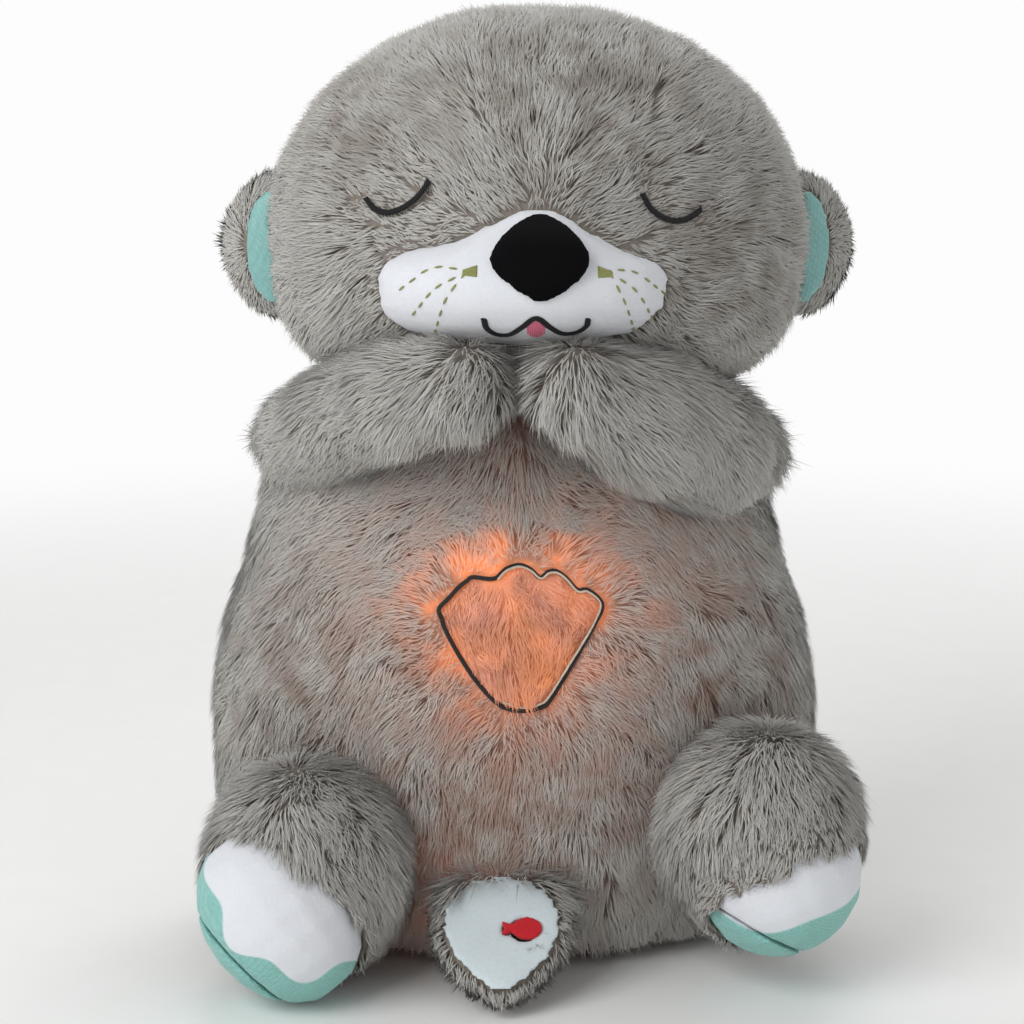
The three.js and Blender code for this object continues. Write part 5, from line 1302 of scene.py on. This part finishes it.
# smooth pieces: muzzle, nose, linings, feet, fish
sides = ("left", "right")
smoothSet = {
    "muzzle": {"finish": "fleece", "body": "root"},
    "nose": {"finish": "velvet", "body": "root", "voxel": 0.0009, "cap": 0.0006, "relax": 8},
    **{"ear_lining_" + side: {"finish": "teal_satin", "body": "root", "voxel": 0.0012} for side in sides},
    **{"foot_" + side: {"finish": "fleece", "body": "leg_of_" + side, "voxel": 0.0013, "cap": 0.001,
                        "relax": 3} for side in sides},
    **{"sole_" + side: {"finish": "teal_knit", "body": "leg_of_" + side, "voxel": 0.001, "cap": 0.001,
                        "relax": 3} for side in sides},
    "tail_lining": {"finish": "pale_cloth", "body": "tail_paddle", "voxel": 0.001, "relax": 12},
    "tail_button": {"finish": "red_cloth", "body": "button", "voxel": 0.0005},
}
footSet = {
    "left": {"centre": (310, 875), "radius": 0.0300, "wave": 0.0021, "waves": 8.0, "turn": 2.2},
    "right": {"centre": (772, 822), "radius": 0.0325, "wave": 0.0009, "waves": 7.0, "turn": 0.4},
    "edge": 0.0003,
    "relief": 0.5,
    "gloss": 0.25,
    "sheen": 0.2,
}
noseSet = {"start": 232.0, "bend": 0.1}


def footAxes(side):
    # a place on the foot, and the two directions across the line of sight through it
    column, row = footSet[side]["centre"]
    course = sightLine(column, row)
    middle = onSurface(treeOf("foot_" + side), column, row)[0]
    across = course.cross(Vector((0, 0, 1))).normalized()
    return middle, across, across.cross(course).normalized()


def footMaterial(side):
    # white fleece whose edge against the teal sole cloth is wavy
    wave = footSet[side]
    middle, across, rising = footAxes(side)
    made, tree, shader = blank("footCloth_" + side)
    white = placed(tree, clothGroup, Base=(*clothColours["fleece"], 1), Grain=1100.0, Variation=0.04)
    teal = placed(tree, clothGroup, Base=(*clothColours["teal_knit"], 1), Grain=900.0, Variation=0.16,
                  Ribs=1.2, Rib_Pitch=300.0)
    where = node(tree, "ShaderNodeTexCoord").outputs["Object"]
    offset = vector(tree, "SUBTRACT", where, tuple(middle))[0]
    u, v = (vector(tree, "DOT_PRODUCT", offset, tuple(axis))["Value"] for axis in (across, rising))
    flat = node(tree, "ShaderNodeCombineXYZ", {0: u, 1: v}).outputs[0]
    angle = calculate(tree, "MULTIPLY", calculate(tree, "ARCTAN2", v, u), wave["waves"])
    swing = calculate(tree, "SINE", calculate(tree, "ADD", angle, wave["turn"]))
    reach = calculate(tree, "SUBTRACT", vector(tree, "LENGTH", flat)["Value"],
                      calculate(tree, "MULTIPLY", swing, wave["wave"]))
    sole = ranged(tree, reach, wave["radius"] - footSet["edge"], wave["radius"] + footSet["edge"])
    height = node(tree, "ShaderNodeMix", {
        0: sole, 2: white.outputs["Height"], 3: teal.outputs["Height"]}).outputs[0]
    relief = node(tree, "ShaderNodeBump", {
        "Strength": footSet["relief"], "Distance": clothSet["relief"], "Height": height})
    tint = mixColour(tree, sole, white.outputs["Color"], teal.outputs["Color"])
    tree.links.new(tint, shader.inputs["Base Color"])
    tree.links.new(white.outputs["Roughness"], shader.inputs["Roughness"])
    tree.links.new(relief.outputs[0], shader.inputs["Normal"])
    shader.inputs["Specular IOR Level"].default_value = footSet["gloss"]
    shader.inputs["Sheen Weight"].default_value = footSet["sheen"]
    return made


def leanedBack(places):
    # the top of the nose leans back until it lies on the muzzle
    moved = places.copy()
    moved[:, 1] += noseSet["bend"] * np.clip(places[:, 2] - noseSet["start"], 0, None) ** 2
    return moved


footFinish = {side: footMaterial(side) for side in sides}
reshapes = {"tail_lining": tapered, "nose": leanedBack}
for pieceName, settings in smoothSet.items():
    piece = muzzlePiece if pieceName == "muzzle" else stuffed(
        pieceName + "_cloth", [pieceName], voxel=settings["voxel"], cap=settings.get("cap", 0.0),
        relaxRounds=settings.get("relax", 4))
    if pieceName in reshapes:
        reshaped(piece, reshapes[pieceName])
    onFoot = pieceName.startswith(("sole", "foot"))
    paint(piece, footFinish[pieceName.rpartition("_")[2]] if onFoot else finishes[settings["finish"]])
    softPiece(piece, 0.8, settings["finish"], pieceName)
    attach(piece, settings["body"])


# thread work as Geometry Nodes
def threadTree():
    tree, given, result = geometryTree("threadRow", ("Spacing", "Stitch", "Thread", "Slant"))
    line = node(tree, "GeometryNodeMeshToCurve", {0: given["Geometry"]}).outputs[0]
    dots = node(tree, "GeometryNodeResampleCurve", {"Curve": line, "Length": given["Spacing"]},
                mode="LENGTH").outputs[0]
    ahead = node(tree, "GeometryNodeInputTangent").outputs[0]
    up = named(tree, "up", "FLOAT_VECTOR")
    across = vector(tree, "CROSS_PRODUCT", up, ahead)[0]
    onward = vector(tree, "SCALE", ahead, scale=calculate(tree, "COSINE", given["Slant"]))[0]
    aside = vector(tree, "SCALE", across, scale=calculate(tree, "SINE", given["Slant"]))[0]
    turning = node(tree, "FunctionNodeAxesToRotation", {
        "Primary Axis": vector(tree, "ADD", onward, aside)[0], "Secondary Axis": up},
        primary_axis="X", secondary_axis="Z").outputs[0]
    bead = node(tree, "GeometryNodeMeshUVSphere", {"Segments": 6, "Rings": 4, "Radius": 0.5}).outputs["Mesh"]
    bead = node(tree, "GeometryNodeSetShadeSmooth", {0: bead}).outputs[0]
    size = node(tree, "ShaderNodeCombineXYZ", {
        0: given["Stitch"], 1: given["Thread"], 2: given["Thread"]}).outputs[0]
    row = node(tree, "GeometryNodeInstanceOnPoints", {
        "Points": dots, "Instance": bead, "Rotation": turning, "Scale": size}).outputs[0]
    tree.links.new(dressed(tree, row, given["Material"]), result.inputs[0])
    return tree


rowTree = threadTree()
threadSet = {
    "eye": {"Spacing": 0.00045, "Stitch": 0.0024, "Thread": 0.0007, "Slant": 1.2, "lift": 0.0022},
    "mouth": {"Spacing": 0.0004, "Stitch": 0.0022, "Thread": 0.0009, "Slant": 1.2, "lift": 0.0002},
    "whisker": {"Spacing": 0.0046, "Stitch": 0.0031, "Thread": 0.0008, "Slant": 0.0, "lift": 0.0001},
    "fan": {"Spacing": 0.0005, "Stitch": 0.0012, "Thread": 0.0008, "Slant": 0.0, "lift": 0.0},
    "shell": {"Spacing": 0.0007, "Stitch": 0.0021, "Thread": 0.0016, "Slant": 0.15, "lift": 0.0013},
    "edge": {"Spacing": 0.0005, "Stitch": 0.0013, "Thread": 0.0008, "Slant": 0.15, "lift": 0.0019},
}


def threadRow(name, strands, finish, kind, closed=False):
    # rows of stitches along strands of places, each with the way that the surface faces
    points, edges = [], []
    for strand in strands:
        first, last = len(points), len(points) + len(strand) - 1
        points += [p + n * threadSet[kind]["lift"] for p, n in strand]
        edges += [(k, k + 1) for k in range(first, last)] + ([(last, first)] if closed else [])
    row = newObject(name, meshOf(name, points, [], edges))
    facing = np.array([list(n) for strand in strands for _, n in strand])
    addAttribute(row.data, "up", "FLOAT_VECTOR", facing)
    modifier = row.modifiers.new("stitches", "NODES")
    modifier.node_group = rowTree
    setInputs(modifier, {**threadSet[kind], "Material": finishes[finish]})
    settle(row)
    print("thread", name, len(row.data.polygons), "faces")
    return row


def hitLine(tree, line, count):
    # a drawn line, laid on the surface where the picture has it
    found = [onSurface(tree, *place) for place in openCurve(line, count)]
    return [hit for hit in found if hit[0] is not None]


muzzleTree = skinTreeOf(muzzlePiece)
faceLines = {
    "mouth": [(484, 319), (487, 328), (497, 334), (510, 334), (522, 327), (536, 318), (550, 327), (562, 333),
              (576, 332), (586, 326), (588, 319)],
    "tongue": [[(column, 320 + 0.75 * abs(column - 536)), (column, 336 - 0.05 * (column - 536) ** 2)]
               for column in range(528, 545, 2)],
    "whisker_1": [(468, 271), (433, 268), (402, 288)],
    "whisker_2": [(466, 273), (436, 288), (414, 313)],
    "whisker_3": [(464, 275), (446, 299), (435, 331)],
    "whisker_4": [(607, 271), (634, 272), (665, 294)],
    "whisker_5": [(609, 273), (636, 291), (654, 321)],
    "whisker_6": [(611, 275), (625, 303), (636, 335)],
    "whisker_fan_left": [[(476 - 0.1 * k, 266.5 + 1.9 * k), (464, 270.5 + 0.8 * k)] for k in range(6)],
    "whisker_fan_right": [[(599 + 0.1 * k, 267.5 + 1.9 * k), (611, 272 + 0.8 * k)] for k in range(6)],
}
linePoints = {"mouth": 60, "whisker": 30, "fan": 8}
for name, found in eyePlaces.items():
    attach(threadRow(name, [found], "blackThread", "eye"), "root")
for name, line in faceLines.items():
    kind = "fan" if name == "tongue" or "fan" in name else name.partition("_")[0]
    finish, slot = {"mouth": ("blackThread", "velvet"), "tongue": ("pinkThread", "red_cloth")}.get(
        name, ("oliveThread", "fleece"))
    strands = [hitLine(muzzleTree, strand, linePoints[kind]) for strand in (line if kind == "fan" else [line])]
    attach(threadRow(name, strands, finish, kind), "root")

skinTree = skinTreeOf(torsoSkin)


def evened(found, reach=9):
    # the line keeps its course in the picture and runs even in depth
    places = np.array([list(hit[0]) for hit in found])
    facing = unit(np.array([list(hit[1]) for hit in found]).mean(0))
    padded = np.pad(places[:, 1], reach, mode="edge")
    places[:, 1] = np.convolve(padded, np.ones(2 * reach + 1) / (2 * reach + 1), mode="valid")
    return [(Vector(place), Vector(facing)) for place in places]


seamLine = closedCurve(shellSet["outline"], shellSet["points"])
# the seam round the shell: a real groove in the skin, whose dark line is painted shade of the recess, laid as
# near-black stitches
shellSeam = threadRow("shell_seam", [evened([onSurface(skinTree, *p) for p in seamLine])], "seamShadow",
                      "shell", closed=True)
shellEdge = threadRow("shell_edge", [evened(hitLine(skinTree, shellSet["pipedEdge"], shellSet["edgePoints"]))],
                      "beigeThread", "edge")
for piece in (shellSeam, shellEdge):
    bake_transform(piece)
print("thread work done")

# the breath springs as steel copies of the CAD springs, attached to the root
for sideName in ("left", "right"):
    springName = "breath_spring_" + sideName
    spring = newObject(springName + "_wire", nodes[springName].data.copy())
    paint(spring, finishes["steel"])
    shadeSmooth(spring)
    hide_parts(springName)
    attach(spring, "root")
    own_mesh(spring)
print("springs done")
